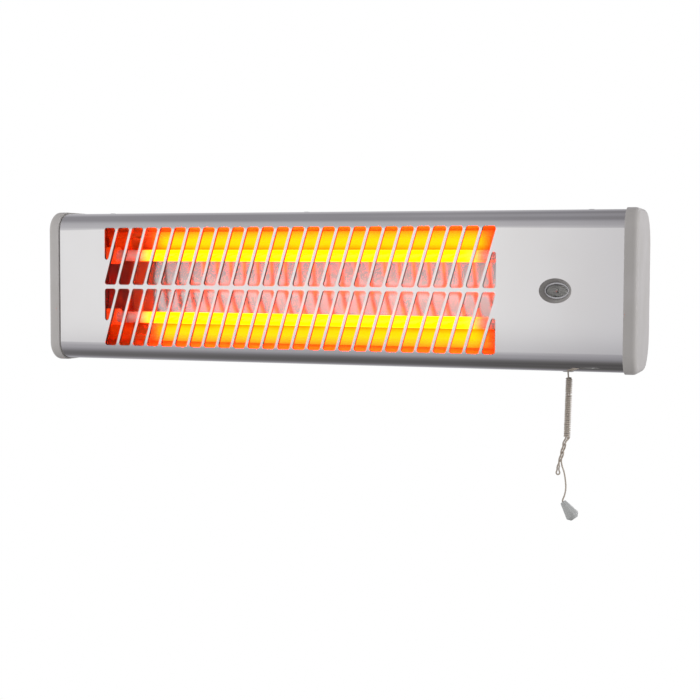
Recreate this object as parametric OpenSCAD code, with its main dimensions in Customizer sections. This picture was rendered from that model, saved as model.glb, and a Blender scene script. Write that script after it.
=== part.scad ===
// Wall-mounted infrared heater with two quartz tubes, a slotted stainless cover,
// a tilting wall bracket and a pull-cord switch with a number drum behind an oval window.
// X runs along the heater, the front faces -Y, Z is up, and the wall is the plane Y = 0.
// Depths are measured from the cover's front face towards the wall.

/* [Body] */
// Overall width across the end caps
body_w = 534; // [510:1:600]
// Height of the cover from its top bend to its bottom bend
body_h = 132.5; // [130:0.5:150]
// Depth from the cover's front face to the back plane
body_d = 82; // [78:1:92]
// Gap from the body's back plane to the wall
wall_gap = 25; // [24:1:32]
// Outside radius of the cover's front bends
front_r = 15.5; // [13:0.5:17]
// Outside radius of the rear corners
rear_r = 30; // [24:1:33]

/* [Cover and rear housing] */
// Thickness of the stainless cover sheet
sheet = 0.8; // [0.6:0.1:1]
// How far the cover's top and bottom legs run back
cover_d = 45; // [42:1:52]
// Thickness of the rear housing sheet
pan_t = 1; // [0.8:0.1:1.4]
// How far the rear housing runs forward under the cover
pan_lap = 7; // [6.5:0.5:8]
// Number of vent slots in each row on the back
vents = 9; // [5:1:9]
// Length of a vent slot
vent_l = 30; // [20:1:34]
// Width of a vent slot
vent_w = 3.6; // [2.5:0.1:5]

/* [Grille] */
// Distance from the left end to the grille
grille_from_left = 57.4; // [56:0.1:62]
// Distance from the right end to the grille
grille_from_right = 115.4; // [112:0.1:118]
// Distance from bar to bar
bar_pitch = 14; // [12:0.5:14.5]
// Width of a bar, measured along the heater
bar_w = 2.4; // [2.2:0.1:4.5]
// Lean of the bars from upright, in degrees
bar_lean = 16; // [8:1:20]
// How far the bars sit to the left of the grille's middle
bar_shift = 0.15; // [0:0.05:2]
// Height of the rail between the two rows
rail_h = 3.5; // [2.5:0.5:8]
// Corner radius of a slot
slot_r = 2.25; // [1:0.25:2.5]
// Distance from the cover's top and bottom to the slots
slot_from_edge = 13.25; // [13.25:0.25:19]

/* [End caps] */
// Width of an end cap seen from the front
cap_w = 11; // [10:0.5:14]
// How far an end cap stands proud of the cover
cap_proud = 1.5; // [1.2:0.1:2.2]
// Thickness of an end cap's side wall
cap_wall = 2.4; // [1.8:0.2:3]
// Radius round the outer edge of an end cap
cap_round = 3; // [2:0.25:3.5]
// Height of the ribs inside an end cap
cap_rib = 5; // [3:0.5:7]

/* [Heating elements] */
// Outside diameter of a quartz tube
tube_d = 10.5; // [9:0.1:11.5]
// Wall of a quartz tube
tube_wall = 1; // [0.8:0.1:1.4]
// Distance of each tube from the middle height
tube_z = 28.3; // [26:0.1:29]
// Depth of the tubes' axes behind the front face
tube_depth = 28; // [25:0.5:29]
// Length from each end plate to the heating coil
cold_l = 45; // [40:1:60]
// Outside diameter of the heating coil
coil_d = 7.2; // [6:0.1:7.4]
// Diameter of a ceramic holder
holder_d = 15.4; // [14:0.2:17]
// Length of a ceramic holder inside the reflector
holder_l = 22; // [19:0.5:25]

/* [Reflector] */
// Distance from the left end to the reflector
refl_from_left = 35; // [33:0.5:40]
// Distance from the right end to the reflector
refl_from_right = 95; // [95:0.5:102]
// Focal length of the trough above the upper tube and below the lower one
refl_focus = 15; // [13:0.5:17]
// Focal length of the middle trough between the tubes
refl_mid = 30; // [24:1:40]
// Height from the middle to the ends of the outer troughs
refl_edge = 50; // [46:0.5:52]
// Thickness of the reflector and its end plates
refl_t = 0.8; // [0.6:0.1:1]

/* [Wall bracket] */
// Width of the wall bracket
bracket_w = 204.4; // [180:0.4:240]
// Height of the wall bracket
bracket_h = 44; // [36:1:56]
// Thickness of the bracket steel
bracket_t = 2; // [1.5:0.1:2.5]
// Distance between the two wall screws
wall_screw_gap = 160; // [120:1:172]
// Diameter of the wall screw holes
wall_screw_d = 5.5; // [4.5:0.1:6.5]
// Distance of the tilt axis from the wall
pivot_gap = 13; // [12.5:0.5:14]
// Diameter of the tilt studs
stud_d = 5; // [4:0.5:6]
// Diameter of the clamp knobs
knob_d = 18; // [15:0.5:20]
// Length of the clamp knobs
knob_l = 11; // [9:0.5:13]

/* [Switch window] */
// Distance from the right end to the middle of the oval window
window_from_right = 66.2; // [65:0.1:68]
// Width of the oval opening in the cover
window_w = 26.7; // [25:0.1:29]
// Height of the oval opening in the cover
window_h = 20.4; // [18:0.1:22]
// Depth of the lens behind the front face
lens_depth = 7.9; // [6:0.1:8.5]
// Width of the oval lens
lens_w = 18; // [16:0.1:19]
// Height of the oval lens
lens_h = 10.2; // [8:0.1:11]
// Width of the bright ring round the lens
ring_w = 1.3; // [0.9:0.1:1.8]

/* [Pull switch] */
// Outside radius of the number drum
drum_r = 12.8; // [12.4:0.1:13.2]
// Width of the number drum
drum_w = 18.5; // [16:0.5:18.5]
// Number of positions round the drum
drum_steps = 6; // [6:1:6]
// Stroke of the pull for one step of the drum
stroke = 8.4; // [8.2:0.1:8.8]
// Distance from the right end to the pull cord
cord_from_right = 60; // [59.5:0.1:60.5]
// Pull cord's depth behind the front face
cord_depth = 31; // [30.8:0.1:31.5]
// Diameter of the pull cord
cord_d = 1.3; // [1:0.1:1.5]
// Number of turns in the tied-up cord
cord_turns = 22; // [12:1:24]

/* [Mains inlet] */
// Diameter of the mains lead that the gland takes
lead_d = 7.5; // [6:0.1:8.5]
// Distance from the right end to the gland
gland_from_right = 29; // [27:0.5:33]
// Distance from the right end to the terminal block
block_from_right = 27; // [26.5:0.5:30]

/* [Hidden] */
$fn = 64;

// Clearances: a running fit on a radius, a loose fit on a radius, and a gap between parts
run_fit = 0.05;
loose_fit = 0.25;
part_gap = 0.3;
// How far a cutter runs past the face that it cuts
past = 1;

// Body frame
front_y = -(wall_gap + body_d);
half_w = body_w / 2;
half_h = body_h / 2;
refl_l0 = refl_from_left - half_w;
refl_l1 = half_w - refl_from_right;
refl_x = (refl_l0 + refl_l1) / 2;
refl_l = refl_l1 - refl_l0;
window_x = half_w - window_from_right;
cord_x = half_w - cord_from_right;
gland_x = half_w - gland_from_right;
cap_seat = 1.6;
shell_end = half_w - cap_wall - cap_seat;
pan_front = cover_d - pan_lap;
pan_back = body_d - sheet;
pan_inside = pan_back - pan_t;
shell_in = sheet + pan_t;

// Self-tapping screws
screw_r = 1.45;
head_r = 2.9;
head_h = 1.3;

// Reads a depth behind the front face as a Y position
function y_at(depth) = front_y + depth;
function unit(v) = v / norm(v);
function oval(w, h, n = 40) = [for (k = [0:n - 1]) [w / 2 * cos(360 * k / n), h / 2 * sin(360 * k / n)]];
function arc(c, r, a0, a1, n) =
    [for (k = [0:n]) let (a = a0 + (a1 - a0) * k / n) c + r * [cos(a), sin(a)]];

// The points of a rounded corner at b, between a and c, on an outline that runs anticlockwise
function corner(a, b, c, r, n = 4) =
    let (u = unit(a - b), w = unit(c - b), half = acos(u * w) / 2)
    let (m = b + unit(u + w) * r / sin(half), p = b + u * r / tan(half) - m)
    arc(m, r, atan2(p[1], p[0]), atan2(p[1], p[0]) + 180 - 2 * half, n);
function rounded(pts, radii) =
    let (n = len(pts))
    [for (k = [0:n - 1]) each corner(pts[(k + n - 1) % n], pts[k], pts[(k + 1) % n], radii[k])];

// Extrudes an outline of depth and height along X, or an outline of X and height along the depth
module along_x(x0, x1) {
    translate([x0, front_y, 0]) rotate([90, 0, 90]) linear_extrude(x1 - x0) children();
}
module along_depth(d0, d1) {
    translate([0, y_at(d1), 0]) rotate([90, 0, 0]) linear_extrude(d1 - d0) children();
}
module rod_x(x0, x1, depth, z, r) {
    translate([x0, y_at(depth), z]) rotate([0, 90, 0]) cylinder(r = r, h = x1 - x0);
}
module rod_y(x, z, d0, d1, r) {
    translate([x, y_at(d0), z]) rotate([-90, 0, 0]) cylinder(r = r, h = d1 - d0);
}
module block(x0, x1, d0, d1, z0, z1) {
    translate([x0, y_at(d0), z0]) cube([x1 - x0, d1 - d0, z1 - z0]);
}

// The body's side outline, drawn in by inset all round
module profile(inset) {
    fr = front_r - inset;
    rr = rear_r - inset;
    h = half_h - inset;
    back = body_d - inset;
    translate([inset, -h + fr]) square([back - rr - inset, 2 * (h - fr)]);
    translate([inset + fr, -h]) square([back - rr - inset - fr, 2 * h]);
    translate([inset + fr, -h + rr]) square([back - inset - fr, 2 * (h - rr)]);
    for (s = [-1, 1]) {
        translate([inset + fr, s * (h - fr)]) circle(r = fr);
        translate([back - rr, s * (h - rr)]) circle(r = rr);
    }
}
function profile_points(inset, n = 8) =
    let (fr = front_r - inset, rr = rear_r - inset, h = half_h - inset, back = body_d - inset)
    concat(
        arc([inset + fr, -h + fr], fr, 180, 270, n), arc([back - rr, -h + rr], rr, 270, 360, n),
        arc([back - rr, h - rr], rr, 0, 90, n), arc([inset + fr, h - fr], fr, 90, 180, n));
module depth_range(d0, d1) {
    translate([d0, -body_h]) square([d1 - d0, 2 * body_h]);
}

// A pan-head screw: the head stands on Z = 0 and the shank runs down
module pan_screw(length) {
    rotate_extrude() polygon([
        [0, -length], [screw_r * 0.4, -length], [screw_r, -length + 1], [screw_r, 0], [head_r, 0],
        [head_r, head_h * 0.5], [head_r * 0.72, head_h], [0, head_h]]);
}
module rear_screw(x, z, depth, length) {
    translate([x, y_at(depth), z]) rotate([-90, 0, 0]) pan_screw(length);
}

// Grille: the slots are cut between slanted bars and end at two uprights
lean = tan(bar_lean);
slot_h = half_h - slot_from_edge - rail_h / 2;
slot_half = (bar_pitch - bar_w) / 2;
row_z = (rail_h + slot_h) / 2;
tip_r = 1.9;
grille_l = grille_from_left - half_w;
grille_r = half_w - grille_from_right;
grille_x = (grille_l + grille_r) / 2;
bars = round((grille_r - grille_l) / bar_pitch);
function bar_x(i, z) = grille_x - bar_shift + (i - (bars - 1) / 2) * bar_pitch + lean * z;

// The outline of slot i, between bars i - 1 and i, where z is measured from the row's middle
function slot_outline(i, top = slot_h / 2) =
    let (l0 = bar_x(i - 1, -top) + bar_w / 2, r0 = bar_x(i, -top) - bar_w / 2)
    let (l1 = bar_x(i - 1, top) + bar_w / 2, r1 = bar_x(i, top) - bar_w / 2)
    rounded([[l0, -top], [r0, -top], [r1, top], [l1, top]], [slot_r, slot_r, slot_r, slot_r]);
// The clipped slots at the two ends of a row
function first_slot(top = slot_h / 2) =
    let (edge = bar_x(0, 0) - bar_w / 2, tip = max(-top, (grille_l - edge) / lean))
    rounded([[grille_l, tip], [edge + lean * top, top], [grille_l, top]], [tip_r, slot_r, slot_r]);
function last_slot(top = slot_h / 2) =
    let (edge = bar_x(bars - 1, 0) + bar_w / 2, tip = min(top, (grille_r - edge) / lean))
    rounded([[edge - lean * top, -top], [grille_r, -top], [grille_r, tip]], [slot_r, slot_r, tip_r]);

module grille_slots() {
    for (s = [-1, 1]) translate([0, s * row_z]) {
        polygon(first_slot());
        for (i = [1:bars - 1]) polygon(slot_outline(i));
        polygon(last_slot());
    }
}

// Cover screws sit in the lap of the cover over the rear housing
cover_screw_x = [-shell_end + 40, refl_x, shell_end - 40];
cover_screw_depth = cover_d - pan_lap / 2;
lip_d = 2.2;
// The slots run a little way into the bends, so their cut goes deeper than the sheet
slot_cut = sheet + 2;

module cover_screw_holes(r) {
    for (x = cover_screw_x)
        translate([x, y_at(cover_screw_depth), -body_h]) cylinder(r = r, h = 2 * body_h);
}
module front_cover() color("gainsboro") difference() {
    union() {
        along_x(-shell_end, shell_end) difference() {
            intersection() {
                profile(0);
                depth_range(-past, cover_d);
            }
            profile(sheet);
        }
        translate([window_x, 0, 0]) along_depth(0, lip_d)
            polygon(oval(window_w + 2 * sheet, window_h + 2 * sheet));
    }
    along_depth(-past, slot_cut) grille_slots();
    translate([window_x, 0, 0]) along_depth(-past, lip_d + past) polygon(oval(window_w, window_h));
    cover_screw_holes(screw_r + loose_fit);
    translate([cord_x, y_at(cord_depth), -body_h]) cylinder(r = bush_r + loose_fit, h = body_h);
}
module cover_screws() color("silver") for (x = cover_screw_x, s = [0, 1])
    mirror([0, 0, s]) translate([x, y_at(cover_screw_depth), half_h]) pan_screw(sheet + pan_t + 3);

// Rear housing, with two rows of vents and the holes for everything that it carries
vent_z = 27;
vent_pitch = (refl_l - 24) / vents;
cap_screw_x = half_w - cap_w + 4;
cap_screw_z = 24;
plate_screw_z = 20;
plate_foot = 14;
block_x = half_w - block_from_right;
block_z = 30;
block_w = 30;

module at_vents() {
    for (s = [-1, 1], k = [0:vents - 1])
        translate([refl_x + (k - (vents - 1) / 2) * vent_pitch, 0, s * vent_z]) children();
}
module vent() {
    run = (vent_l - vent_w) / 2;
    block(-run, run, pan_inside - past, pan_back + past, -vent_w / 2, vent_w / 2);
    for (s = [-1, 1]) rod_y(s * run, 0, pan_inside - past, pan_back + past, vent_w / 2);
}
// Points on the back where screws come in: the end caps, then the reflector's end plates
cap_screws_at = [for (s = [-1, 1], t = [-1, 1]) [s * cap_screw_x, t * cap_screw_z]];
plate_screws_at = [for (s = [-1, 1], t = [-1, 1])
    [refl_x + s * (refl_l / 2 + refl_t + plate_foot / 2), t * plate_screw_z]];
block_screws_at = [for (s = [-1, 1]) [block_x + s * (block_w / 2 - 4), block_z]];

module rear_housing() color("darkgray") difference() {
    along_x(-shell_end, shell_end) difference() {
        intersection() {
            profile(sheet);
            depth_range(pan_front, body_d);
        }
        profile(shell_in);
    }
    at_vents() vent();
    for (p = concat(cap_screws_at, plate_screws_at, block_screws_at))
        rod_y(p[0], p[1], pan_inside - past, pan_back + past, screw_r);
    for (p = rivets_at) rod_y(p[0], p[1], pan_inside - past, pan_back + past, rivet_r);
    rod_y(gland_x, 0, pan_inside - past, pan_back + past, gland_r + loose_fit);
    cover_screw_holes(screw_r);
}

// End caps: a rim that laps over the cover's end and a ribbed side wall
cap_gap = 0.15;
rib_half = 0.8;
rib_z = [-27, 27];

// A solid through a stack of rings, each ring a list of points
function loft_faces(rings, n) = concat(
    [for (r = [0:rings - 2], k = [0:n - 1]) each
        let (a = r * n + k, b = r * n + (k + 1) % n) [[a, a + n, b], [b, a + n, b + n]]],
    [for (k = [1:n - 2]) [0, k, k + 1]],
    let (last = (rings - 1) * n) [for (k = [1:n - 2]) [last, last + k + 1, last + k]]);
function cap_ring(x, inset) = [for (p = profile_points(inset)) [x, y_at(p[0]), p[1]]];

module cap_shell() {
    steps = 4;
    rings = concat(
        [cap_ring(half_w - cap_w, -cap_proud)],
        [for (k = [0:steps]) let (a = 90 * k / steps)
            cap_ring(half_w - cap_round * (1 - sin(a)), -cap_proud + cap_round * (1 - cos(a)))]);
    polyhedron([for (r = rings) each r], loft_faces(len(rings), len(rings[0])));
}
module end_cap() {
    wall_x = half_w - cap_wall;
    difference() {
        cap_shell();
        along_x(half_w - cap_w - past, wall_x) {
            intersection() {
                profile(-cap_gap);
                depth_range(-past, cover_d + part_gap);
            }
            profile(sheet - cap_gap);
        }
        for (p = cap_screws_at)
            rod_y(abs(p[0]), p[1], pan_back - past, body_d + 2 * cap_proud, screw_r + loose_fit);
    }
    rib_l = wall_x - cap_rib;
    rib_r = wall_x + cap_wall / 2;
    for (z = rib_z)
        block(rib_l, rib_r, front_r - 4, body_d - 12, z - rib_half, z + rib_half);
    rib_end = half_h - front_r - 1;
    block(rib_l, rib_r, body_d / 2 - rib_half, body_d / 2 + rib_half, -rib_end, rib_end);
}
module right_end_cap() color("darkgray") end_cap();
module left_end_cap() color("darkgray") mirror([1, 0, 0]) end_cap();
module cap_screws() color("silver") for (p = cap_screws_at)
    rear_screw(p[0], p[1], body_d + cap_proud, cap_proud + sheet + pan_t + 3);

// Reflector: a shallow trough between the tubes, a steeper one outside each, and a skirt to the cover
trough = tube_depth + refl_focus;
skirt_lip = [4.5, half_h - 7.8];
function dish(z) = trough + (z < tube_z
    ? (tube_z * tube_z - z * z) / (4 * refl_mid)
    : -(z - tube_z) * (z - tube_z) / (4 * refl_focus));
function refl_side(n = 9) = concat(
    [for (k = [0:n - 1]) let (z = tube_z * k / n) [dish(z), z]],
    [for (k = [0:n]) let (z = tube_z + (refl_edge - tube_z) * k / n) [dish(z), z]]);
refl_half = concat(refl_side(), [skirt_lip]);
refl_line = concat(
    [for (k = [len(refl_half) - 1:-1:1]) [refl_half[k][0], -refl_half[k][1]]], refl_half);
// The line moved back by the sheet's thickness, square to its run
function moved(line, t) = [for (k = [0:len(line) - 1])
    let (d = unit(line[min(k + 1, len(line) - 1)] - line[max(k - 1, 0)])) line[k] + t * [d[1], -d[0]]];

module reflector() color("lightgray") along_x(refl_l0, refl_l1)
    polygon(concat(refl_line, [for (k = [len(refl_line) - 1:-1:0]) moved(refl_line, refl_t)[k]]));

wire_hole_depth = 64;
neck_r = 5;
module end_plate(x0, side) {
    foot = side < 0 ? [x0 - plate_foot, x0 + refl_t] : [x0, x0 + refl_t + plate_foot];
    difference() {
        union() {
            along_x(x0, x0 + refl_t) intersection() {
                profile(shell_in + part_gap);
                depth_range(skirt_lip[0] - 1, body_d);
            }
            block(foot[0], foot[1], pan_inside - refl_t, pan_inside, -plate_screw_z - 8, plate_screw_z + 8);
        }
        for (s = [-1, 1]) rod_x(x0 - past, x0 + past * 2, tube_depth, s * tube_z, neck_r + loose_fit);
        rod_x(x0 - past, x0 + past * 2, wire_hole_depth, 0, 5);
        for (p = plate_screws_at) rod_y(p[0], p[1], pan_inside - refl_t - past, pan_back, screw_r);
    }
}
module reflector_end_left() color("lightgray") end_plate(refl_l0 - refl_t, -1);
module reflector_end_right() color("lightgray") end_plate(refl_l1, 1);
module plate_screws() color("silver") for (p = plate_screws_at)
    rear_screw(p[0], p[1], pan_back, pan_t + refl_t + 3);

// Heating elements. Each end is drawn pointing out along +X from the inside of its end plate
socket = 6;
tube_end = holder_l - socket;
pin_r = 1.5;
neck_out = 5;
tab_w = 6.3;
tab_t = 0.8;
module at_element_ends(side) {
    for (s = [-1, 1]) translate([refl_x, y_at(tube_depth), s * tube_z])
        mirror([side < 0 ? 1 : 0, 0, 0]) translate([refl_l / 2, 0, 0]) rotate([0, 90, 0]) children();
}
module ceramic_holder() difference() {
    union() {
        translate([0, 0, -holder_l]) cylinder(d = holder_d, h = holder_l * 0.55);
        translate([0, 0, -holder_l * 0.5]) cylinder(r = neck_r + 1.6, h = holder_l * 0.5);
        translate([0, 0, -1]) cylinder(r = neck_r, h = neck_out + 1);
    }
    translate([0, 0, -holder_l - past]) cylinder(r = tube_d / 2 + run_fit, h = socket + past);
    translate([0, 0, -holder_l]) cylinder(r = pin_r + run_fit, h = holder_l + neck_out + past);
}
module ceramic_holders_left() color("wheat") at_element_ends(-1) ceramic_holder();
module ceramic_holders_right() color("wheat") at_element_ends(1) ceramic_holder();

clip_t = 1;
module holder_clip() translate([0, 0, refl_t]) difference() {
    cylinder(r = neck_r + 3, h = clip_t);
    translate([0, 0, -past]) cylinder(r = neck_r + run_fit, h = clip_t + 2 * past);
    translate([-1.2, 0, -past]) cube([2.4, neck_r + 5, clip_t + 2 * past]);
}
module holder_clips() color("silver") for (side = [-1, 1]) at_element_ends(side) holder_clip();
module element_terminals() color("silver") for (side = [-1, 1]) at_element_ends(side) {
    translate([0, 0, -tube_end]) cylinder(r = pin_r, h = tube_end + neck_out + 1.5);
    translate([-tab_w / 2, -tab_t / 2, neck_out + 0.5]) cube([tab_w, tab_t, 7.5]);
}
module quartz_tube(z) difference() {
    rod_x(refl_l0 + tube_end, refl_l1 - tube_end, tube_depth, z, tube_d / 2);
    rod_x(refl_l0, refl_l1, tube_depth, z, tube_d / 2 - tube_wall);
}
module quartz_tube_upper() color([1, 0.9, 0.7, 0.4]) quartz_tube(tube_z);
module quartz_tube_lower() color([1, 0.9, 0.7, 0.4]) quartz_tube(-tube_z);

// The coil is drawn as its sleeve, closed at both ends and carried on straight leads
lead_r = 0.6;
coil_wire = 0.8;
module heating_coil(z) {
    x0 = refl_l0 + cold_l;
    x1 = refl_l1 - cold_l;
    difference() {
        rod_x(x0, x1, tube_depth, z, coil_d / 2);
        rod_x(x0 + coil_wire, x1 - coil_wire, tube_depth, z, coil_d / 2 - coil_wire);
    }
    rod_x(refl_l0 + tube_end, x0 + coil_wire / 2, tube_depth, z, lead_r);
    rod_x(x1 - coil_wire / 2, refl_l1 - tube_end, tube_depth, z, lead_r);
}
module heating_coil_upper() color("orange") heating_coil(tube_z);
module heating_coil_lower() color("orange") heating_coil(-tube_z);

// Wall bracket: a channel on the wall with two ears that carry the tilt studs
ear_r = 10;
washer_t = 1.2;
lug_t = 2;
pivot_depth = body_d + wall_gap - pivot_gap;
ear_in = bracket_w / 2 - bracket_t;
lug_out = ear_in - washer_t;
lug_in = lug_out - lug_t;
wall_depth = body_d + wall_gap;
plate_depth = wall_depth - bracket_t;
lip_h = 5;
lip_end = ear_in - 8;

module wall_bracket() color("gray") difference() {
    union() {
        block(-bracket_w / 2, bracket_w / 2, plate_depth, wall_depth, -bracket_h / 2, bracket_h / 2);
        for (s = [0, 1]) {
            mirror([0, 0, s]) block(-lip_end, lip_end, plate_depth - lip_h, wall_depth,
                bracket_h / 2 - bracket_t, bracket_h / 2);
            mirror([s, 0, 0]) {
                block(ear_in, bracket_w / 2, pivot_depth, wall_depth, -ear_r, ear_r);
                rod_x(ear_in, bracket_w / 2, pivot_depth, 0, ear_r);
            }
        }
    }
    rod_x(-bracket_w, bracket_w, pivot_depth, 0, stud_d / 2 + run_fit);
    for (s = [-1, 1])
        rod_y(s * wall_screw_gap / 2, 0, plate_depth - past, wall_depth + past, wall_screw_d / 2);
}

// Tilt lugs riveted to the back, with a nut welded inside each
lug_r = 9;
lug_foot = 16;
lug_half = 18;
rivet_z = 12;
washer_r = 7;
rivet_r = 2;
nut_af = 8;
nut_t = 4;
rivets_at = [for (s = [-1, 1], t = [-1, 1]) [s * (lug_in - lug_foot / 2 + lug_t / 2), t * rivet_z]];

module tilt_lugs() color("gray") for (s = [0, 1]) mirror([s, 0, 0]) difference() {
    union() {
        block(lug_in - lug_foot + lug_t, lug_out, pan_back, pan_back + lug_t, -lug_half, lug_half);
        block(lug_in, lug_out, pan_back, pivot_depth, -lug_r, lug_r);
        rod_x(lug_in, lug_out, pivot_depth, 0, lug_r);
    }
    rod_x(lug_in - past, lug_out + past, pivot_depth, 0, stud_d / 2 + run_fit);
    for (p = rivets_at) rod_y(abs(p[0]), p[1], pan_back - past, pan_back + lug_t + past, rivet_r);
}
module lug_rivets() color("silver") for (p = rivets_at) {
    rod_y(p[0], p[1], pan_inside - 1, pan_back + lug_t + 1, rivet_r);
    rod_y(p[0], p[1], pan_inside - 1, pan_inside, rivet_r + 1.4);
    rod_y(p[0], p[1], pan_back + lug_t, pan_back + lug_t + 1, rivet_r + 1.4);
}
module lug_nuts() color("silver") for (s = [0, 1]) mirror([s, 0, 0]) difference() {
    translate([lug_in - nut_t, y_at(pivot_depth), 0]) rotate([0, 90, 0])
        cylinder(r = nut_af / 2 / cos(30), h = nut_t, $fn = 6);
    rod_x(lug_in - nut_t - past, lug_in + past, pivot_depth, 0, stud_d / 2 + run_fit);
}
module friction_washers() color("saddlebrown") for (s = [0, 1]) mirror([s, 0, 0]) difference() {
    rod_x(lug_out, ear_in, pivot_depth, 0, washer_r);
    rod_x(lug_out - past, ear_in + past, pivot_depth, 0, stud_d / 2 + run_fit);
}

// Clamp knobs with a fluted grip; each stud is moulded into its knob
knob_in = bracket_w / 2;
knob_collar = 2;
flutes = 8;
stud_in = 6;
module clamp_knob() difference() {
    union() {
        rod_x(knob_in, knob_in + knob_collar, pivot_depth, 0, stud_d / 2 + 3);
        rod_x(knob_in + knob_collar, knob_in + knob_l, pivot_depth, 0, knob_d / 2);
    }
    for (k = [0:flutes - 1]) let (a = 360 * k / flutes, r = knob_d / 2 + 1)
        rod_x(knob_in + knob_collar - past / 2, knob_in + knob_l + past,
            pivot_depth + r * cos(a), r * sin(a), 2);
    rod_x(knob_in - past, knob_in + stud_in, pivot_depth, 0, stud_d / 2);
}
module tilt_stud() rod_x(lug_in - nut_t - 1, knob_in + stud_in, pivot_depth, 0, stud_d / 2);
module tilt_knob_right() color("dimgray") clamp_knob();
module tilt_knob_left() color("dimgray") mirror([1, 0, 0]) clamp_knob();
module tilt_stud_right() color("silver") tilt_stud();
module tilt_stud_left() color("silver") mirror([1, 0, 0]) tilt_stud();

// Switch: the number drum turns on a shaft along X, just behind the lens
lens_t = 1.5;
lens_back = lens_depth + lens_t;
drum_depth = lens_back + 0.8 + drum_r;
drum_l = window_x - drum_w / 2;
drum_e = window_x + drum_w / 2;
drum_wall = 1.2;
web_t = 1.6;
shaft_r = 1.5;
hub_r = 3.5;
box_l = drum_l - 4.1;
box_r = drum_e + 7.4;
box_wall = 1.6;
box_top = 22;
box_bottom = -34;
box_front = lens_back + 1.6;
box_back = box_front + 34;

// The slider hangs on the cord and drives the ratchet wheel with a peg
peg_r = 1.1;
peg_depth = drum_depth + 7;
peg_z = 6.55;
bar_l = drum_e + 0.7;
bar_r = box_r - box_wall - 1.2;
bar_half = 2.6;
bar_front = cord_depth - bar_half;
bar_back = cord_depth + bar_half;
foot_top = -drum_r - 2.2;
foot_t = 3;
rail_t = 1.6;
slide_fit = 0.2;
bore_r = cord_d / 2 + 0.95;

module switch_box() color("whitesmoke") difference() {
    union() {
        difference() {
            block(box_l, box_r, box_front, box_back, box_bottom, box_top);
            block(box_l + box_wall, box_r - box_wall, box_front - past, box_back - box_wall,
                box_bottom + box_wall, box_top - box_wall);
        }
        for (s = [-1, 1]) {
            face = cord_depth + s * (bar_half + slide_fit);
            block(bar_l, box_r - box_wall / 2, min(face, face + s * rail_t), max(face, face + s * rail_t),
                foot_top - stroke, box_top - box_wall / 2);
        }
    }
    rod_x(box_l - past, box_r + past, drum_depth, 0, shaft_r + run_fit);
    for (d = blade_depths)
        block(blade_l, blade_l + blade_t + slide_fit, d - blade_half - slide_fit, d + blade_half + slide_fit,
            box_top - box_wall - past, box_top + past);
    translate([cord_x, y_at(cord_depth), box_bottom - past]) cylinder(r = bore_r, h = box_wall + 2 * past);
    for (p = bracket_screws_at) rod_y(p[0], p[1], box_back - box_wall - past, box_back + past, screw_r);
}

// Bezel: a front plate for the box with an oval funnel that rises to the cover
plate_d = box_front - lens_back;
function oval_ring(w, h, depth) = [for (p = oval(w, h)) [window_x + p[0], y_at(depth), p[1]]];
ring_outer_w = lens_w + 2 * ring_w;
ring_outer_h = lens_h + 2 * ring_w + 1.4;
module funnel() {
    rings = [
        oval_ring(window_w + 7, window_h + 7, lens_back + 0.4),
        oval_ring(window_w + 7, window_h + 7, lip_d + part_gap),
        oval_ring(window_w + 1, window_h + 1, lip_d + part_gap),
        oval_ring(ring_outer_w + 0.2, ring_outer_h + 0.2, lens_depth - 0.5),
        oval_ring(ring_outer_w + 0.2, ring_outer_h + 0.2, lens_back + 0.4)];
    n = len(rings[0]);
    loops = len(rings);
    polyhedron([for (r = rings) each r], [for (r = [0:loops - 1], k = [0:n - 1]) each
        let (j = (k + 1) % n, up = (r + 1) % loops)
        [[r * n + k, up * n + k, r * n + j], [r * n + j, up * n + k, up * n + j]]]);
}
module window_bezel() color("dimgray") {
    funnel();
    difference() {
        block(box_l, box_r, lens_back, box_front, box_bottom, box_top);
        block(drum_l - 0.8, drum_e + 0.8, lens_back + 0.8, box_front + past, -6, 6);
        translate([window_x, 0, 0]) along_depth(lens_back - past, box_front)
            polygon(oval(lens_w - 1.2, lens_h - 1.2));
    }
}
module lens_ring() color("silver") translate([window_x, 0, 0]) along_depth(lens_depth - 0.5, lens_back)
    difference() {
        polygon(oval(ring_outer_w, ring_outer_h));
        polygon(oval(lens_w, lens_h));
    }
module window_lens() color([0.3, 0.3, 0.3, 0.6]) translate([window_x, 0, 0])
    along_depth(lens_depth, lens_back) polygon(oval(lens_w - 0.1, lens_h - 0.1));

module indicator_drum() color("white") difference() {
    rod_x(drum_l, drum_e, drum_depth, 0, drum_r);
    difference() {
        rod_x(drum_l + web_t, drum_e + past, drum_depth, 0, drum_r - drum_wall);
        rod_x(drum_l, wheel_l, drum_depth, 0, hub_r);
    }
    rod_x(drum_l - past, drum_e + past, drum_depth, 0, shaft_r);
}

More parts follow.
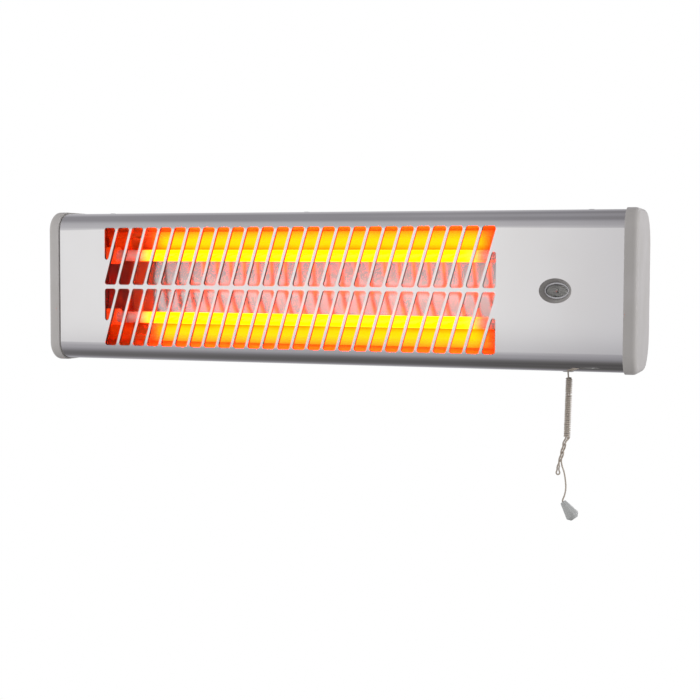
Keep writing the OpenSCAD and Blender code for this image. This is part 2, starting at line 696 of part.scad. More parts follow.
// Ratchet wheel: each tooth has a radial face that the peg pushes down
tooth_r = 9;
root_r = 5.5;
tooth_at = 35;
tooth_back = 50;
wheel_l = drum_e - 6;
wheel_t = 4;
wheel_outline = [for (k = [0:drum_steps - 1]) each
    let (a = tooth_at + 360 * k / drum_steps)
    [root_r * [cos(a - tooth_back), sin(a - tooth_back)],
        (root_r + tooth_r) / 2 * [cos(a - tooth_back / 2), sin(a - tooth_back / 2)],
        tooth_r * [cos(a), sin(a)], root_r * [cos(a), sin(a)]]];
module ratchet_wheel() color("ivory") difference() {
    along_x(wheel_l, wheel_l + wheel_t) translate([drum_depth, 0]) polygon(wheel_outline);
    rod_x(wheel_l - past, wheel_l + wheel_t + past, drum_depth, 0, shaft_r);
}
module drum_shaft() color("silver") rod_x(box_l + 0.1, box_r - 0.1, drum_depth, 0, shaft_r);
disc_t = 1;
module contact_disc() color("goldenrod") difference() {
    rod_x(drum_l - disc_t, drum_l, drum_depth, 0, 8);
    for (k = [0:2]) let (a = 120 * k)
        rod_x(drum_l - disc_t - past, drum_l + past, drum_depth + 8 * cos(a), 8 * sin(a), 2.4);
    rod_x(drum_l - disc_t - past, drum_l + past, drum_depth, 0, shaft_r);
}
// Contact blades stand on the box's left wall and come out at its top
blade_l = box_l + box_wall;
blade_t = 0.6;
blade_half = 1.6;
blade_top = box_top + 7;
blade_depths = [for (s = [-1, 1]) drum_depth - s * 5];
module contact_blades() color("goldenrod") for (d = blade_depths) {
    block(blade_l, blade_l + blade_t, d - blade_half, d + blade_half, -3, blade_top);
    rod_x(blade_l, drum_l - disc_t - part_gap, d, 0, 1.2);
}
module pull_slider() color("ivory") {
    difference() {
        union() {
            block(bar_l, bar_r, bar_front, bar_back, foot_top - foot_t, peg_z + 2.5);
            block(cord_x - 3.5, bar_r, bar_front, bar_back, foot_top - foot_t, foot_top);
        }
        translate([cord_x, y_at(cord_depth), foot_top - foot_t - past])
            cylinder(r = cord_d / 2 + run_fit, h = foot_t + 2 * past);
    }
    rod_x(wheel_l + 0.4, bar_l + 0.5, peg_depth, peg_z, peg_r);
}

// A tube swept along a list of points, with its ends closed
function heading(p, i) = unit(p[min(i + 1, len(p) - 1)] - p[max(i - 1, 0)]);
function side_of(n, t) = unit(n - (n * t) * t);
function first_side(t) = side_of(abs(t[1]) < 0.9 ? [0, 1, 0] : [1, 0, 0], t);
function sides_along(p) = [for (i = 0, n = first_side(heading(p, 0)); i < len(p);
    i = i + 1, n = i < len(p) ? side_of(n, heading(p, i)) : n) n];
function tube_rings(p, r, m) = let (s = sides_along(p)) [for (i = [0:len(p) - 1], k = [0:m - 1])
    let (a = 360 * k / m) p[i] + r * (cos(a) * s[i] + sin(a) * cross(heading(p, i), s[i]))];
module sweep(p, r, m = 8)
    polyhedron(tube_rings(p, r, m), [for (f = loft_faces(len(p), m)) [f[2], f[1], f[0]]]);
function blend(a, b, t) = a + (b - a) * t;

// Return spring round the cord, between the slider's foot and the box's floor
spring_low = box_bottom + box_wall;
spring_high = foot_top - foot_t;
spring_turns = 8;
spring_wire = 0.5;
spring_r = cord_d / 2 + 1.7;
spring_rings = 8 * spring_turns;
spring_path = [for (k = [0:spring_rings]) let (t = k / spring_rings, a = 360 * spring_turns * t)
    [cord_x + spring_r * cos(a), y_at(cord_depth) + spring_r * sin(a),
        blend(spring_low + spring_wire / 2, spring_high - spring_wire / 2, t)]];
module slider_spring() color("silver") sweep(spring_path, spring_wire / 2, 6);

// Switch bracket between the reflector's right end plate and the back of the box
mount_t = 1;
mount_low = -20;
mount_high = 12;
mount_flange = 10;
bracket_screws_at = [[box_l + 6, mount_low + 6], [box_r - 6, mount_high - 6]];
module switch_bracket() color("gray") difference() {
    union() {
        block(refl_l1 + refl_t, box_r, box_back, box_back + mount_t, mount_low, mount_high);
        block(refl_l1 + refl_t, refl_l1 + refl_t + mount_t, box_back, box_back + mount_flange,
            mount_low, mount_high);
    }
    for (p = bracket_screws_at)
        rod_y(p[0], p[1], box_back - past, box_back + mount_t + past, screw_r + loose_fit);
}
module bracket_screws() color("silver") for (p = bracket_screws_at)
    rear_screw(p[0], p[1], box_back + mount_t, mount_t + box_wall + 3);

// Outlet bush for the cord: it snaps into the cover's underside
bush_r = 3.4;
bush_flange = 5;
bush_hole = cord_d / 2 + 0.5;
bush_barb = bush_r + loose_fit + 0.3;
module pull_bush() color("darkgray") translate([cord_x, y_at(cord_depth), -half_h]) rotate_extrude() polygon([
    [bush_hole, 3.5], [bush_r - 0.3, 3.5], [bush_barb, sheet + 0.8], [bush_barb, sheet + 0.1],
    [bush_r, sheet + 0.1], [bush_r, 0], [bush_flange, 0], [bush_flange, -0.8],
    [bush_flange - 0.7, -1.5], [bush_hole + 1, -1.5], [bush_hole, 0]]);

// Terminal block for the mains lead, on the inside of the back
block_h = 16;
block_d = 13;
ways = 3;
function way_x(k) = block_x + (k - (ways - 1) / 2) * 7;
module terminal_block() color("ivory") difference() {
    block(block_x - block_w / 2, block_x + block_w / 2, pan_inside - block_d, pan_inside,
        block_z - block_h / 2, block_z + block_h / 2);
    for (k = [0:ways - 1], s = [-1, 1])
        rod_y(way_x(k), block_z + s * 4, pan_inside - block_d - past, pan_inside - block_d + 4, 2);
    for (p = block_screws_at) rod_y(p[0], p[1], pan_inside - 4, pan_inside + past, screw_r);
}
module block_screws() color("silver") {
    for (p = block_screws_at) rear_screw(p[0], p[1], pan_back, pan_t + 3.5);
    for (k = [0:ways - 1], s = [-1, 1])
        rod_y(way_x(k), block_z + s * 4, pan_inside - block_d + 1.5, pan_inside - block_d + 4, 2);
}

// Gland in the back for the mains lead
gland_r = 7;
gland_out = 11;
gland_in = 9;
module cable_gland() color("dimgray") difference() {
    union() {
        rod_y(gland_x, 0, pan_inside - gland_in, pan_back, gland_r);
        translate([gland_x, y_at(pan_back), 0]) rotate([-90, 0, 0]) cylinder(r = gland_r + 3, h = 4, $fn = 6);
        rod_y(gland_x, 0, pan_back + 4, pan_back + gland_out, gland_r);
    }
    rod_y(gland_x, 0, pan_inside - gland_in - past, pan_back + gland_out + past, lead_d / 2);
}
module gland_locknut() color("dimgray") difference() {
    translate([gland_x, y_at(pan_inside - 4), 0]) rotate([-90, 0, 0])
        cylinder(r = gland_r + 3, h = 4, $fn = 6);
    rod_y(gland_x, 0, pan_inside - 4 - past, pan_inside + past, gland_r);
}

// Wires inside the body, as points of X, depth and height
wire_r = 1.1;
wire_gap = 2.2;
tab_x = refl_l / 2 + neck_out + 4.5;
tab_back = tube_depth + tab_t / 2;
function route(points) = [for (p = points) [p[0], y_at(p[1]), p[2]]];
// The last points of a wire that comes from the point before and ends on a tab's back
function tab_end(x, z) = [[x, tab_back + 7, z * 1.25], [x, tab_back + 2.6, z], [x, tab_back, z]];

// From each tab on the left, along behind the reflector, to a contact blade
blade_x = blade_l + blade_t / 2;
element_routes = [for (k = [0, 1]) let (s = k == 0 ? -1 : 1, x = refl_x - tab_x, d = blade_depths[k]) [
    [x, tab_back, s * tube_z], [x, tab_back + 2.6, s * tube_z], [x, 45, s * 23], [x + 2, 58, s * 9],
    [x + 8, wire_hole_depth, s * wire_gap], [refl_l1 + 8, wire_hole_depth, s * wire_gap],
    [refl_l1 + 12, 56 + s * 2, 11 + s * 4], [refl_l1 + 14, 44 - s * 3, 26 + s * 6],
    [blade_x - 1, d + 7, blade_top + 5 + s * 2], [blade_x, d + 1, blade_top + 4],
    [blade_x, d, blade_top + 2.2], [blade_x, d, blade_top]]];
module element_wires() color("firebrick") for (p = element_routes) sweep(route(p), wire_r, 6);

// From the block's top to the tabs on the right, and from its underside to the housing as the earth
block_mid = pan_inside - block_d / 2;
block_end = block_h / 2;
supply_routes = [
    concat([[way_x(0), block_mid, block_z + block_end], [way_x(0), block_mid, block_z + block_end + 3],
        [way_x(0) - 11, 67, 48], [box_l + 9, 56, 52], [refl_l1 + 12, 42, 45]],
        tab_end(refl_x + tab_x, tube_z)),
    concat([[way_x(1), block_mid, block_z + block_end], [way_x(1), block_mid, block_z + block_end + 3],
        [box_r + 10, 60, 42], [box_r + 4.5, 53, 22], [box_r + 4.5, 53, -20], [cord_x - 1, 51, box_bottom - 4],
        [box_l, 44, box_bottom - 8]],
        tab_end(refl_x + tab_x, -tube_z)),
    [[way_x(2), block_mid, block_z - block_end], [way_x(2), block_mid, block_z - block_end - 3],
        [way_x(2) + 3, block_mid + 2, block_z - 17], [way_x(2) + 4, pan_inside - 2.4, block_z - 18.5],
        [way_x(2) + 4, pan_inside, block_z - 18.5]]];
module supply_wires() color("royalblue") for (p = supply_routes) sweep(route(p), 1, 6);

// Pull cord. Strand A comes down inside the winding, twists with strand B to the eye and
// back, and B climbs inside the winding to its top. The winding runs down round both.
// Its end twists along with A and B as strand C and leaves as the tail that holds the grip.
cord_r = cord_d / 2;
cord_y = y_at(cord_depth);
exit_z = -half_h - 1.5;
core_r = cord_r + 0.23;
wind_r = core_r + cord_d + 0.05;
// Places on the cord, measured from where it leaves the bush, as X and Z
function hung(p) = [cord_x + p[0], exit_z + p[1]];
wind_top = hung([0.9, -6.75]);
wind_low = hung([-0.3, -54.75]);
twist_top = hung([-2, -59.25]);
twist_low = hung([-6.8, -79.75]);
twist_turns = 1;
twist_r = 1.15;
eye = hung([-7.5, -84.15]);
// The eye's shape about its centre, from strand A round to strand B
eye_points = [[-0.9, 3.4], [-1.15, 2.1], [-1.6, 0.8], [-1.6, -0.6], [-1.1, -1.7], [0, -2.2],
    [1.1, -1.7], [1.6, -0.6], [1.6, 0.8], [1.15, 2.1], [0.9, 3.4]];
// The tail's points below the twist, then the point where it meets the grip
tail_points = [[-3.9, -79.85], [-2.4, -84.3], [-1.2, -90.8], [-0.7, -97.6], [-1.6, -103.5], [-2.8, -106.8]];
grip_top = hung([-3, -109.4]);
grip_lean = 36;

function spot(c, r, a) = [c[0] + r * cos(a), cord_y + r * sin(a), c[1]];
function twist(t, phase) = spot(blend(twist_top, twist_low, t), twist_r, phase + 360 * twist_turns * t);
function core(t, phase) = spot(blend(wind_top, wind_low, t), core_r, phase);
twist_steps = 12;
strand_a = concat(
    [[cord_x, cord_y, exit_z], [cord_x, cord_y, exit_z - 1.5], [cord_x + 0.2, cord_y, wind_top[1] + 2.6]],
    [for (t = [0:0.25:1]) core(t, 180)],
    [for (k = [0:twist_steps]) twist(k / twist_steps, 180)]);
strand_eye = [for (p = eye_points) [eye[0] + p[0], cord_y, eye[1] + p[1]]];
strand_b = concat(
    [for (k = [twist_steps:-1:0]) twist(k / twist_steps, 300)],
    [for (t = [1:-0.25:0]) core(t, 0)]);
// The winding is a helix that runs down round both strands, with a straight bit at each end
loop_steps = 24;
wind_from = 100;
helix_turns = cord_turns - wind_from / 360;
helix_n = round(loop_steps * helix_turns);
wind_rise = 1.4;
function helix_at(t) = spot(blend([wind_top[0], wind_top[1] + wind_rise], wind_low, t), wind_r,
    wind_from + 360 * helix_turns * t);
helix_path = [for (k = [0:helix_n]) helix_at(k / helix_n)];
wind_start = helix_path[0];
wind_end = helix_path[helix_n];
start_way = unit([-sin(wind_from), cos(wind_from), 0]);
end_way = [0, 1, 0];
winding_path = concat(
    [wind_start - cord_d * start_way, wind_start - cord_d / 2 * start_way], helix_path,
    [wind_end + cord_d / 2 * end_way, wind_end + cord_d * end_way]);
// The least gap between one turn and the next, measured on the path's points
least_gap = min([for (i = [0:4:len(winding_path) - 1], j = [i + 12:min(i + 36, len(winding_path) - 1)])
    norm(winding_path[i] - winding_path[j])]) - cord_d;
echo(winding_gap = least_gap);

// Strand B leaves the core's top and turns out to the winding's start: X, Y and height above it
rise_points = [[0.9, 0.15, 0.6], [1.05, 0.65, 1.1], [1.35, 1.35, 1.35], [1.5, 2, 1.4]];
lead_path = concat(strand_a, strand_eye, strand_b,
    [for (p = rise_points) [wind_top[0] + p[0], cord_y + p[1], wind_top[1] + p[2]]],
    [wind_start - (cord_d + 0.4) * start_way, wind_start - cord_d * start_way]);

// Strand C turns down from the winding's end into the twist
fall_points = [[2.2, 1.8, -0.2], [1.8, 2, -0.8], [1.1, 1.7, -1.9], [0.1, 1.4, -3.2]];
tail_path = concat(
    [wind_end + cord_d * end_way],
    [for (p = fall_points) [wind_low[0] + p[0], cord_y + p[1], wind_low[1] + p[2]]],
    [for (k = [0:10]) twist(k / twist_steps, 60)],
    [for (p = tail_points) let (h = hung(p)) [h[0], cord_y, h[1]]],
    [[grip_top[0] - cord_d * sin(grip_lean), cord_y, grip_top[1] + cord_d * cos(grip_lean)],
        [grip_top[0], cord_y, grip_top[1]]]);
echo(rings = len(lead_path) + len(tail_path));

module cord_inner() color("tan") translate([cord_x, cord_y, exit_z + part_gap])
    cylinder(r = cord_r, h = foot_top - exit_z - part_gap);
module cord_lead() color("tan") sweep(lead_path, cord_r);
module cord_winding() color("tan") sweep(winding_path, cord_r, 6);
module cord_tail() color("tan") sweep(tail_path, cord_r);

// Grip: a small bell with a bevelled end, hanging at a lean on the cord
grip_l = 13.6;
grip_bevel = 3.4;
grip_narrow = 2.5;
grip_wide = 5.65;
grip_end = 3.2;
module pull_grip() color("lightgray")
    translate([grip_top[0], cord_y, grip_top[1]]) rotate([0, 180 - grip_lean, 0]) rotate_extrude()
        polygon([[0, 0], [grip_narrow - 0.5, 0], [grip_narrow, 0.6], [grip_wide - 0.3, grip_l - 0.6],
            [grip_wide, grip_l], [grip_wide - 0.2, grip_l + 0.7], [grip_end, grip_l + grip_bevel],
            [0, grip_l + grip_bevel]]);

wall_bracket();
front_cover();
rear_housing();
left_end_cap();
right_end_cap();
cap_screws();
cover_screws();
tilt_lugs();
lug_rivets();
lug_nuts();
friction_washers();
tilt_knob_left();
tilt_stud_left();
tilt_knob_right();
tilt_stud_right();
reflector();
reflector_end_left();
reflector_end_right();
plate_screws();
quartz_tube_upper();
quartz_tube_lower();
heating_coil_upper();
heating_coil_lower();
ceramic_holders_left();
ceramic_holders_right();
holder_clips();
element_terminals();
element_wires();
switch_box();
window_bezel();
lens_ring();
window_lens();
indicator_drum();
ratchet_wheel();
drum_shaft();
contact_disc();
contact_blades();
pull_slider();
slider_spring();
switch_bracket();
bracket_screws();
pull_bush();
terminal_block();
block_screws();
cable_gland();
gland_locknut();
supply_wires();
cord_inner();
cord_lead();
cord_winding();
cord_tail();
pull_grip();
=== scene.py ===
# %% [markdown]
# # A wall-mounted infrared heater
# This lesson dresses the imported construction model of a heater: polished sheet, moulded end
# caps, two glowing quartz tubes and a pull cord tied up in a hank. The construction model is the
# frame. Its parts stay where they are, and get materials or finer pieces that stand for them.
# X runs along the heater, the front faces -Y and Z is up, all in metres.

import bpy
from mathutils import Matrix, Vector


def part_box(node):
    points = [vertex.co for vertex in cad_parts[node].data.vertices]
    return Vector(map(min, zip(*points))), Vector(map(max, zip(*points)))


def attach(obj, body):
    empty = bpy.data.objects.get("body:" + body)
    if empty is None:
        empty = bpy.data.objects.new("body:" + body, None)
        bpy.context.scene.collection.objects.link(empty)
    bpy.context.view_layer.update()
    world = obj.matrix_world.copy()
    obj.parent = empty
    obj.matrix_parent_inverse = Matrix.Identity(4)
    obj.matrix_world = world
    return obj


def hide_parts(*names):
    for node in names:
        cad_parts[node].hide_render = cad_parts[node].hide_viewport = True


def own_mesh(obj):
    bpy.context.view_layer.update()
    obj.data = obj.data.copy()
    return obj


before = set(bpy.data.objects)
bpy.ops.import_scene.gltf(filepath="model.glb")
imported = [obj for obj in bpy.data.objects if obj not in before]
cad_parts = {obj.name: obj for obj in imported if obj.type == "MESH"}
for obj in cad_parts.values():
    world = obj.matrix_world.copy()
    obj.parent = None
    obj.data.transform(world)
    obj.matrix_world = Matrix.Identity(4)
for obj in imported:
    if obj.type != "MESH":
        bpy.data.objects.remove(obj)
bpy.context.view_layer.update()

# %% [markdown]
# ## Tools for the rest of the lesson
# A product's sizes are drawn in millimetres, so one small function turns a point in millimetres
# into Blender's metres. Colours are picked as hex codes, as on a screen. A shader needs linear
# light, and one function makes that change. Another adds a node with all its settings and links,
# so that each material further on reads as a list of what it is made of.

# %% Units, colours and nodes
import math

import bmesh
import bpy
from mathutils import Matrix, Vector

MM = 0.001


def in_metres(point):
    """A point in millimetres as a vector in metres."""
    return Vector(point) * MM


def linear(code):
    """An sRGB hex code, such as "#aabbcc", as linear light with full alpha."""
    parts = [int(code[k:k + 2], 16) / 255 for k in (1, 3, 5)]
    return [c / 12.92 if c <= 0.04045 else ((c + 0.055) / 1.055) ** 2.4 for c in parts] + [1]


def add_node(tree, kind, values=(), links=(), stops=(), **settings):
    """Adds one node: its settings, its fixed values by socket, what feeds it, and a ramp's stops."""
    made = tree.nodes.new(kind)
    for name, value in settings.items():
        setattr(made, name, value)
    for socket, value in dict(values).items():
        made.inputs[socket].default_value = value
    for socket, source in dict(links).items():
        tree.links.new(source, made.inputs[socket])
    for k, (place, value) in enumerate(stops):
        ramp = made.color_ramp.elements
        stop = ramp[k] if k < 2 else ramp.new(place)
        stop.position = place
        stop.color = value if hasattr(value, "__len__") else (value, value, value, 1)
    return made


print("mid grey in linear light:", [round(c, 3) for c in linear("#808080")])

# %% [markdown]
# ## Camera
# The photograph looks at the heater from the right of its middle, almost level, with a long lens.
# Its place was worked out from the outline of the body, so that each edge falls where it does in
# the picture. It is set once, first, because everything is judged through it.

# %% Camera
CAMERA_AT = in_metres((410.1, -1236.8, 18.34))
CAMERA_YAW, CAMERA_PITCH, CAMERA_ROLL = (math.radians(a) for a in (18.81, -3.38, 0.25))

ahead = Vector((-math.sin(CAMERA_YAW) * math.cos(CAMERA_PITCH),
                math.cos(CAMERA_YAW) * math.cos(CAMERA_PITCH), math.sin(CAMERA_PITCH)))
level = Vector((math.cos(CAMERA_YAW), math.sin(CAMERA_YAW), 0))
upward = level.cross(ahead)
rightward = level * math.cos(CAMERA_ROLL) + upward * math.sin(CAMERA_ROLL)
overhead = upward * math.cos(CAMERA_ROLL) - level * math.sin(CAMERA_ROLL)

camera = bpy.data.objects.new("camera", bpy.data.cameras.new("camera"))
camera.data.lens = 72
camera.data.sensor_width = 36
camera.data.clip_start, camera.data.clip_end = 0.05, 60
camera_turn = Matrix((rightward, overhead, -ahead)).transposed().to_4x4()
camera.matrix_world = Matrix.Translation(CAMERA_AT) @ camera_turn
bpy.context.scene.collection.objects.link(camera)
bpy.context.scene.camera = camera
print("camera is", round((CAMERA_AT - in_metres((0, -107, 0))).length, 3), "m from the front's middle")

# %% [markdown]
# ## Pull cord
# The cord is a thin braided line, a little over 0.6 m long. It is tied up: it goes down through its own
# winding, makes an eye, comes back up, and is then wound tightly round both strands. Its last
# bit twists with them and leaves as a tail that carries the grip. A curve with a round bevel
# could draw it, but a swept mesh was chosen, because it can carry the run and the turn round the
# cord as numbers on its corners, which the braid's pattern reads later.

# %% A swept tube
def smooth_route(points, step):
    """Points on a smooth curve through the given ones, no more than about a step apart."""
    line = []
    for k in range(len(points) - 1):
        before, a, b, after = (points[max(min(k + j, len(points) - 1), 0)] for j in (-1, 0, 1, 2))
        parts = max(1, math.ceil((b - a).length / step))
        for t in (j / parts for j in range(parts)):
            line.append(0.5 * (2 * a + (b - before) * t + (2 * before - 5 * a + 4 * b - after) * t ** 2
                               + (3 * a - before - 3 * b + after) * t ** 3))
    return line + [points[-1]]


def new_piece(name, mesh, body, material=None):
    """Puts a mesh in the scene, riding on a body and taking its finish from a slot."""
    piece = bpy.data.objects.new(name, mesh)
    bpy.context.scene.collection.objects.link(piece)
    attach(piece, body)
    if material:
        piece.data.materials.append(material)
    return piece


def sweep_tube(name, line, radius, sides=10):
    """A closed round tube along a line. Its corners know the run in metres and the turn round it."""
    headings = [(line[min(k + 1, len(line) - 1)] - line[max(k - 1, 0)]).normalized()
                for k in range(len(line))]
    across = headings[0].orthogonal().normalized()
    points, runs, run = [], [], 0
    for k, (point, way) in enumerate(zip(line, headings)):
        across = (across - across.dot(way) * way).normalized()
        up = way.cross(across)
        run += (point - line[k - 1]).length if k else 0
        runs.append(run)
        points += [point + radius * (math.cos(a) * across + math.sin(a) * up)
                   for a in (2 * math.pi * j / sides for j in range(sides))]
    rings = len(line)
    faces, corners = [], []
    for k in range(rings - 1):
        for j in range(sides):
            n = (j + 1) % sides
            faces.append((k * sides + j, k * sides + n, (k + 1) * sides + n, (k + 1) * sides + j))
            corners += [(runs[k], j, 0), (runs[k], j + 1, 0), (runs[k + 1], j + 1, 0), (runs[k + 1], j, 0)]
    for ring, order in ((0, -1), (rings - 1, 1)):
        face = [ring * sides + j for j in range(sides)][::order]
        faces.append(face)
        corners += [(runs[ring], j, 0) for j in range(sides)][::order]
    mesh = bpy.data.meshes.new(name)
    mesh.from_pydata(points, [], faces)
    mesh.polygons.foreach_set("use_smooth", [True] * len(faces))
    store = mesh.attributes.new("along_and_round", "FLOAT_VECTOR", "CORNER")
    store.data.foreach_set("vector", [v for run, j, _ in corners for v in (run, j / sides, 0)])
    return mesh, run


# %% [markdown]
# The route is worked out the way the cord was tied. Each stretch is a list of points in
# millimetres, with X and Z measured from the outlet. The winding has 27 turns, close together as
# a hand pulls them, with one small break between two of them.

# %% The cord's route
CORD_D = 1.3
OUTLET = Vector((207, -76, -67.75))
WIND_TOP, WIND_LOW = (0.9, -6.75), (-0.3, -54.75)
CORE_R = CORD_D / 2 + 0.23
WIND_R = CORE_R + CORD_D + 0.05
WIND_TURNS, WIND_FROM, WIND_RISE, WIND_STEPS = 27, 100, 1.4, 24
BREAK_AT, BREAK_GAP = 0.27, 0.9
TWIST_TOP, TWIST_LOW = (-2, -59.25), (-6.8, -79.75)
TWIST_R, TWIST_TURNS, TWIST_STEPS = 1.2, 1, 16
EYE = (-7.5, -84.15)
EYE_POINTS = [(-0.8, 3.2), (-0.72, 1.9), (-0.95, 0.6), (-1.4, -0.4), (-1.4, -1.4), (-0.9, -2.2), (0, -2.5),
              (0.9, -2.2), (1.4, -1.4), (1.4, -0.4), (0.95, 0.6), (0.72, 1.9), (0.8, 3.2)]
RISE_POINTS = [(0.95, 0.1, 0.5), (1.25, 0.6, 1), (1.3, 1.3, 1.3), (0.8, 1.95, 1.4)]
FALL_POINTS = [(2.05, 1, -0.12), (1.65, 1.8, -0.6), (1.15, 2, -1.45), (0.45, 1.8, -2.4), (-0.4, 1.5, -3.45)]
TAIL_POINTS = [(-3.9, -79.85), (-2.4, -84.3), (-1.2, -90.8), (-0.7, -97.6), (-1.6, -103.5), (-2.8, -106.8)]
GRIP_TOP, GRIP_LEAN = (-3, -109.4), math.radians(36)


def between(a, b, t):
    return [p + (q - p) * t for p, q in zip(a, b)]


def round_centre(centre, radius, degrees):
    """A point of X and Z on the cord's plane, moved out by a radius at an angle seen from above."""
    angle = math.radians(degrees)
    return Vector((centre[0] + radius * math.cos(angle), radius * math.sin(angle), centre[1]))


def core_point(t, phase):
    return round_centre(between(WIND_TOP, WIND_LOW, t), CORE_R, phase)


def twist_point(t, phase):
    return round_centre(between(TWIST_TOP, TWIST_LOW, t), TWIST_R, phase + 360 * TWIST_TURNS * t)


def wind_point(t):
    """A point on the winding. Each turn sits a little high or low, and one break opens between turns."""
    turns = WIND_TURNS - WIND_FROM / 360
    step = max(0, min(1, (t - BREAK_AT) * WIND_TURNS + 0.5))
    length = WIND_TOP[1] + WIND_RISE - WIND_LOW[1]
    down = t * (length - BREAK_GAP) + BREAK_GAP * step * step * (3 - 2 * step)
    down += 0.05 * math.sin(9.7 * t * turns) + 0.04 * math.sin(2.3 * t * turns)
    x = between(WIND_TOP, WIND_LOW, t)[0]
    return round_centre((x, WIND_TOP[1] + WIND_RISE - down), WIND_R + 0.05 * math.sin(5.1 * t * turns),
                        WIND_FROM + 360 * turns * t)


flat = [Vector((x, 0, z)) for x, z in ((0, 0), (0, -1.5), (0.2, -4.15))]
strand_a = flat + [core_point(k / 8, 180) for k in range(9)]
strand_a += [twist_point(k / TWIST_STEPS, 180) for k in range(TWIST_STEPS + 1)]
eye = [Vector((EYE[0] + x, 0, EYE[1] + z)) for x, z in EYE_POINTS]
strand_b = [twist_point(k / TWIST_STEPS, 300) for k in range(TWIST_STEPS, -1, -1)]
strand_b += [core_point(k / 8, 0) for k in range(8, -1, -1)]
rise = [Vector((WIND_TOP[0] + x, y, WIND_TOP[1] + z)) for x, y, z in RISE_POINTS]
wind_count = round(WIND_TURNS * WIND_STEPS)
winding = [wind_point(k / wind_count) for k in range(wind_count + 1)]
fall = [Vector((WIND_LOW[0] + x, y, WIND_LOW[1] + z)) for x, y, z in FALL_POINTS]
strand_c = [twist_point(k / TWIST_STEPS, 60) for k in range(14)]
tail = [Vector((x, 0, z)) for x, z in TAIL_POINTS]
into_grip = [Vector((GRIP_TOP[0] + d * math.sin(GRIP_LEAN), 0, GRIP_TOP[1] - d * math.cos(GRIP_LEAN)))
             for d in (-0.5, 1.5)]

knots = strand_a + eye + strand_b + rise + winding + fall + strand_c + tail + into_grip
cord_line = smooth_route([(OUTLET + p) * MM for p in knots], 0.7 * MM)
cord_mesh, cord_length = sweep_tube("pull_cord", cord_line, CORD_D / 2 * MM)
print("cord:", round(cord_length, 3), "m in", len(cord_line), "rings")

# %% [markdown]
# ## Grip
# The grip is a small moulded bell with flat sides, which a finger and thumb hold. Each flat is
# a strip between rings of eight corners. A bevel then rounds every edge by a few tenths of a
# millimetre, as a mould does, and that edge is what catches the light.

# %% Lofted shapes
def loft(bm, rings, close_ends=True):
    """Joins rings of points, all with the same number of points, into a skin in bm."""
    loops = [[bm.verts.new(p) for p in ring] for ring in rings]
    for a, b in zip(loops, loops[1:]):
        for k in range(len(a)):
            n = (k + 1) % len(a)
            bm.faces.new((a[k], a[n], b[n], b[k]))
    if close_ends:
        bm.faces.new(loops[0][::-1])
        bm.faces.new(loops[-1])
    return loops


def finish_mesh(bm, name, crease=35):
    """Turns bm into a mesh that shades smoothly, with true edges where faces meet at an angle."""
    bmesh.ops.remove_doubles(bm, verts=bm.verts, dist=1e-7)
    bmesh.ops.recalc_face_normals(bm, faces=bm.faces)
    mesh = bpy.data.meshes.new(name)
    bm.to_mesh(mesh)
    bm.free()
    mesh.polygons.foreach_set("use_smooth", [True] * len(mesh.polygons))
    mesh.set_sharp_from_angle(angle=math.radians(crease))
    return mesh


# %% The grip's shape
GRIP_SIDES = 8
GRIP_RINGS = [(1.6, 0), (2.55, 0.25), (2.75, 0.9), (5.8, 13.6), (5.6, 14.3), (3.3, 16.9)]

grip_bm = bmesh.new()
loft(grip_bm, [[(r * math.cos(a) * MM, r * math.sin(a) * MM, -h * MM)
                for a in (2 * math.pi * (k + 0.5) / GRIP_SIDES for k in range(GRIP_SIDES))]
               for r, h in GRIP_RINGS])
sharp = [e for e in grip_bm.edges if e.calc_face_angle(0) > math.radians(12)]
bmesh.ops.bevel(grip_bm, geom=sharp, offset=0.28 * MM, segments=3, affect="EDGES", profile=0.5)
grip_place = Matrix.Translation((OUTLET + Vector((GRIP_TOP[0], 0, GRIP_TOP[1]))) * MM)
bmesh.ops.transform(grip_bm, matrix=grip_place @ Matrix.Rotation(-GRIP_LEAN, 4, "Y"), verts=grip_bm.verts)
grip_mesh = finish_mesh(grip_bm, "grip")
print("grip:", len(grip_mesh.polygons), "faces")

# %% The cord and the grip in place
pull_cord = new_piece("pull_cord", cord_mesh, "cord")
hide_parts("cord_lead", "cord_winding", "cord_tail")
grip = new_piece("grip", grip_mesh, "cord")
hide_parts("pull_grip")
print("cord hangs to", round((OUTLET[2] + GRIP_TOP[1] - 14) * MM, 3), "m")

# %% [markdown]
# ## Studio
# Polished metal shows its surroundings more than its own colour, so the studio matters as much
# as the material. Mirror rays see a pale room: a bright band at the height of the heater, which
# is brighter towards the left, and darker walls, ceiling and floor above and below it. That is
# what draws the grey stripes along the bends. Its dim parts are slightly cool, as in a studio lit
# by daylight lamps. Rough surfaces get even light from all sides. The camera, and rays that pass
# through glass, see plain white.

# %% The room
scene = bpy.context.scene
scene.view_settings.view_transform = "Standard"
scene.world = bpy.data.worlds.new("studio")
scene.world.use_nodes = True
room = scene.world.node_tree
room.nodes.clear()

PLAIN_LEVEL = 0.58
ROOM_BY_HEIGHT = [(0, 0.16), (0.017, 0.12), (0.06, 0.17), (0.095, 0.22), (0.134, 0.32), (0.22, 0.46),
                  (0.31, 0.52), (0.365, 0.56), (0.42, 0.65), (0.4685, 0.68), (0.4722, 0.8),
                  (0.4755, 0.93), (0.478, 0.985), (0.485, 1.0), (0.54, 1.0), (0.59, 0.74), (0.66, 0.64),
                  (0.75, 0.6), (0.84, 0.54), (0.88, 0.45), (0.92, 0.36), (0.97, 0.36), (1, 0.47)]
ROOM_BY_SIDE = [(0.2, 0.9), (0.25, 0.915), (0.35, 0.96), (0.376, 0.99), (0.391, 0.9), (0.411, 0.83),
                (0.43, 0.75), (0.5, 0.66), (0.75, 0.43), (1, 0.25)]
COOL_BY_LEVEL = [(0.12, (1, 0.97, 1, 1)), (0.3, (0.93, 0.915, 1, 1)), (0.9, (0.985, 0.982, 1, 1))]

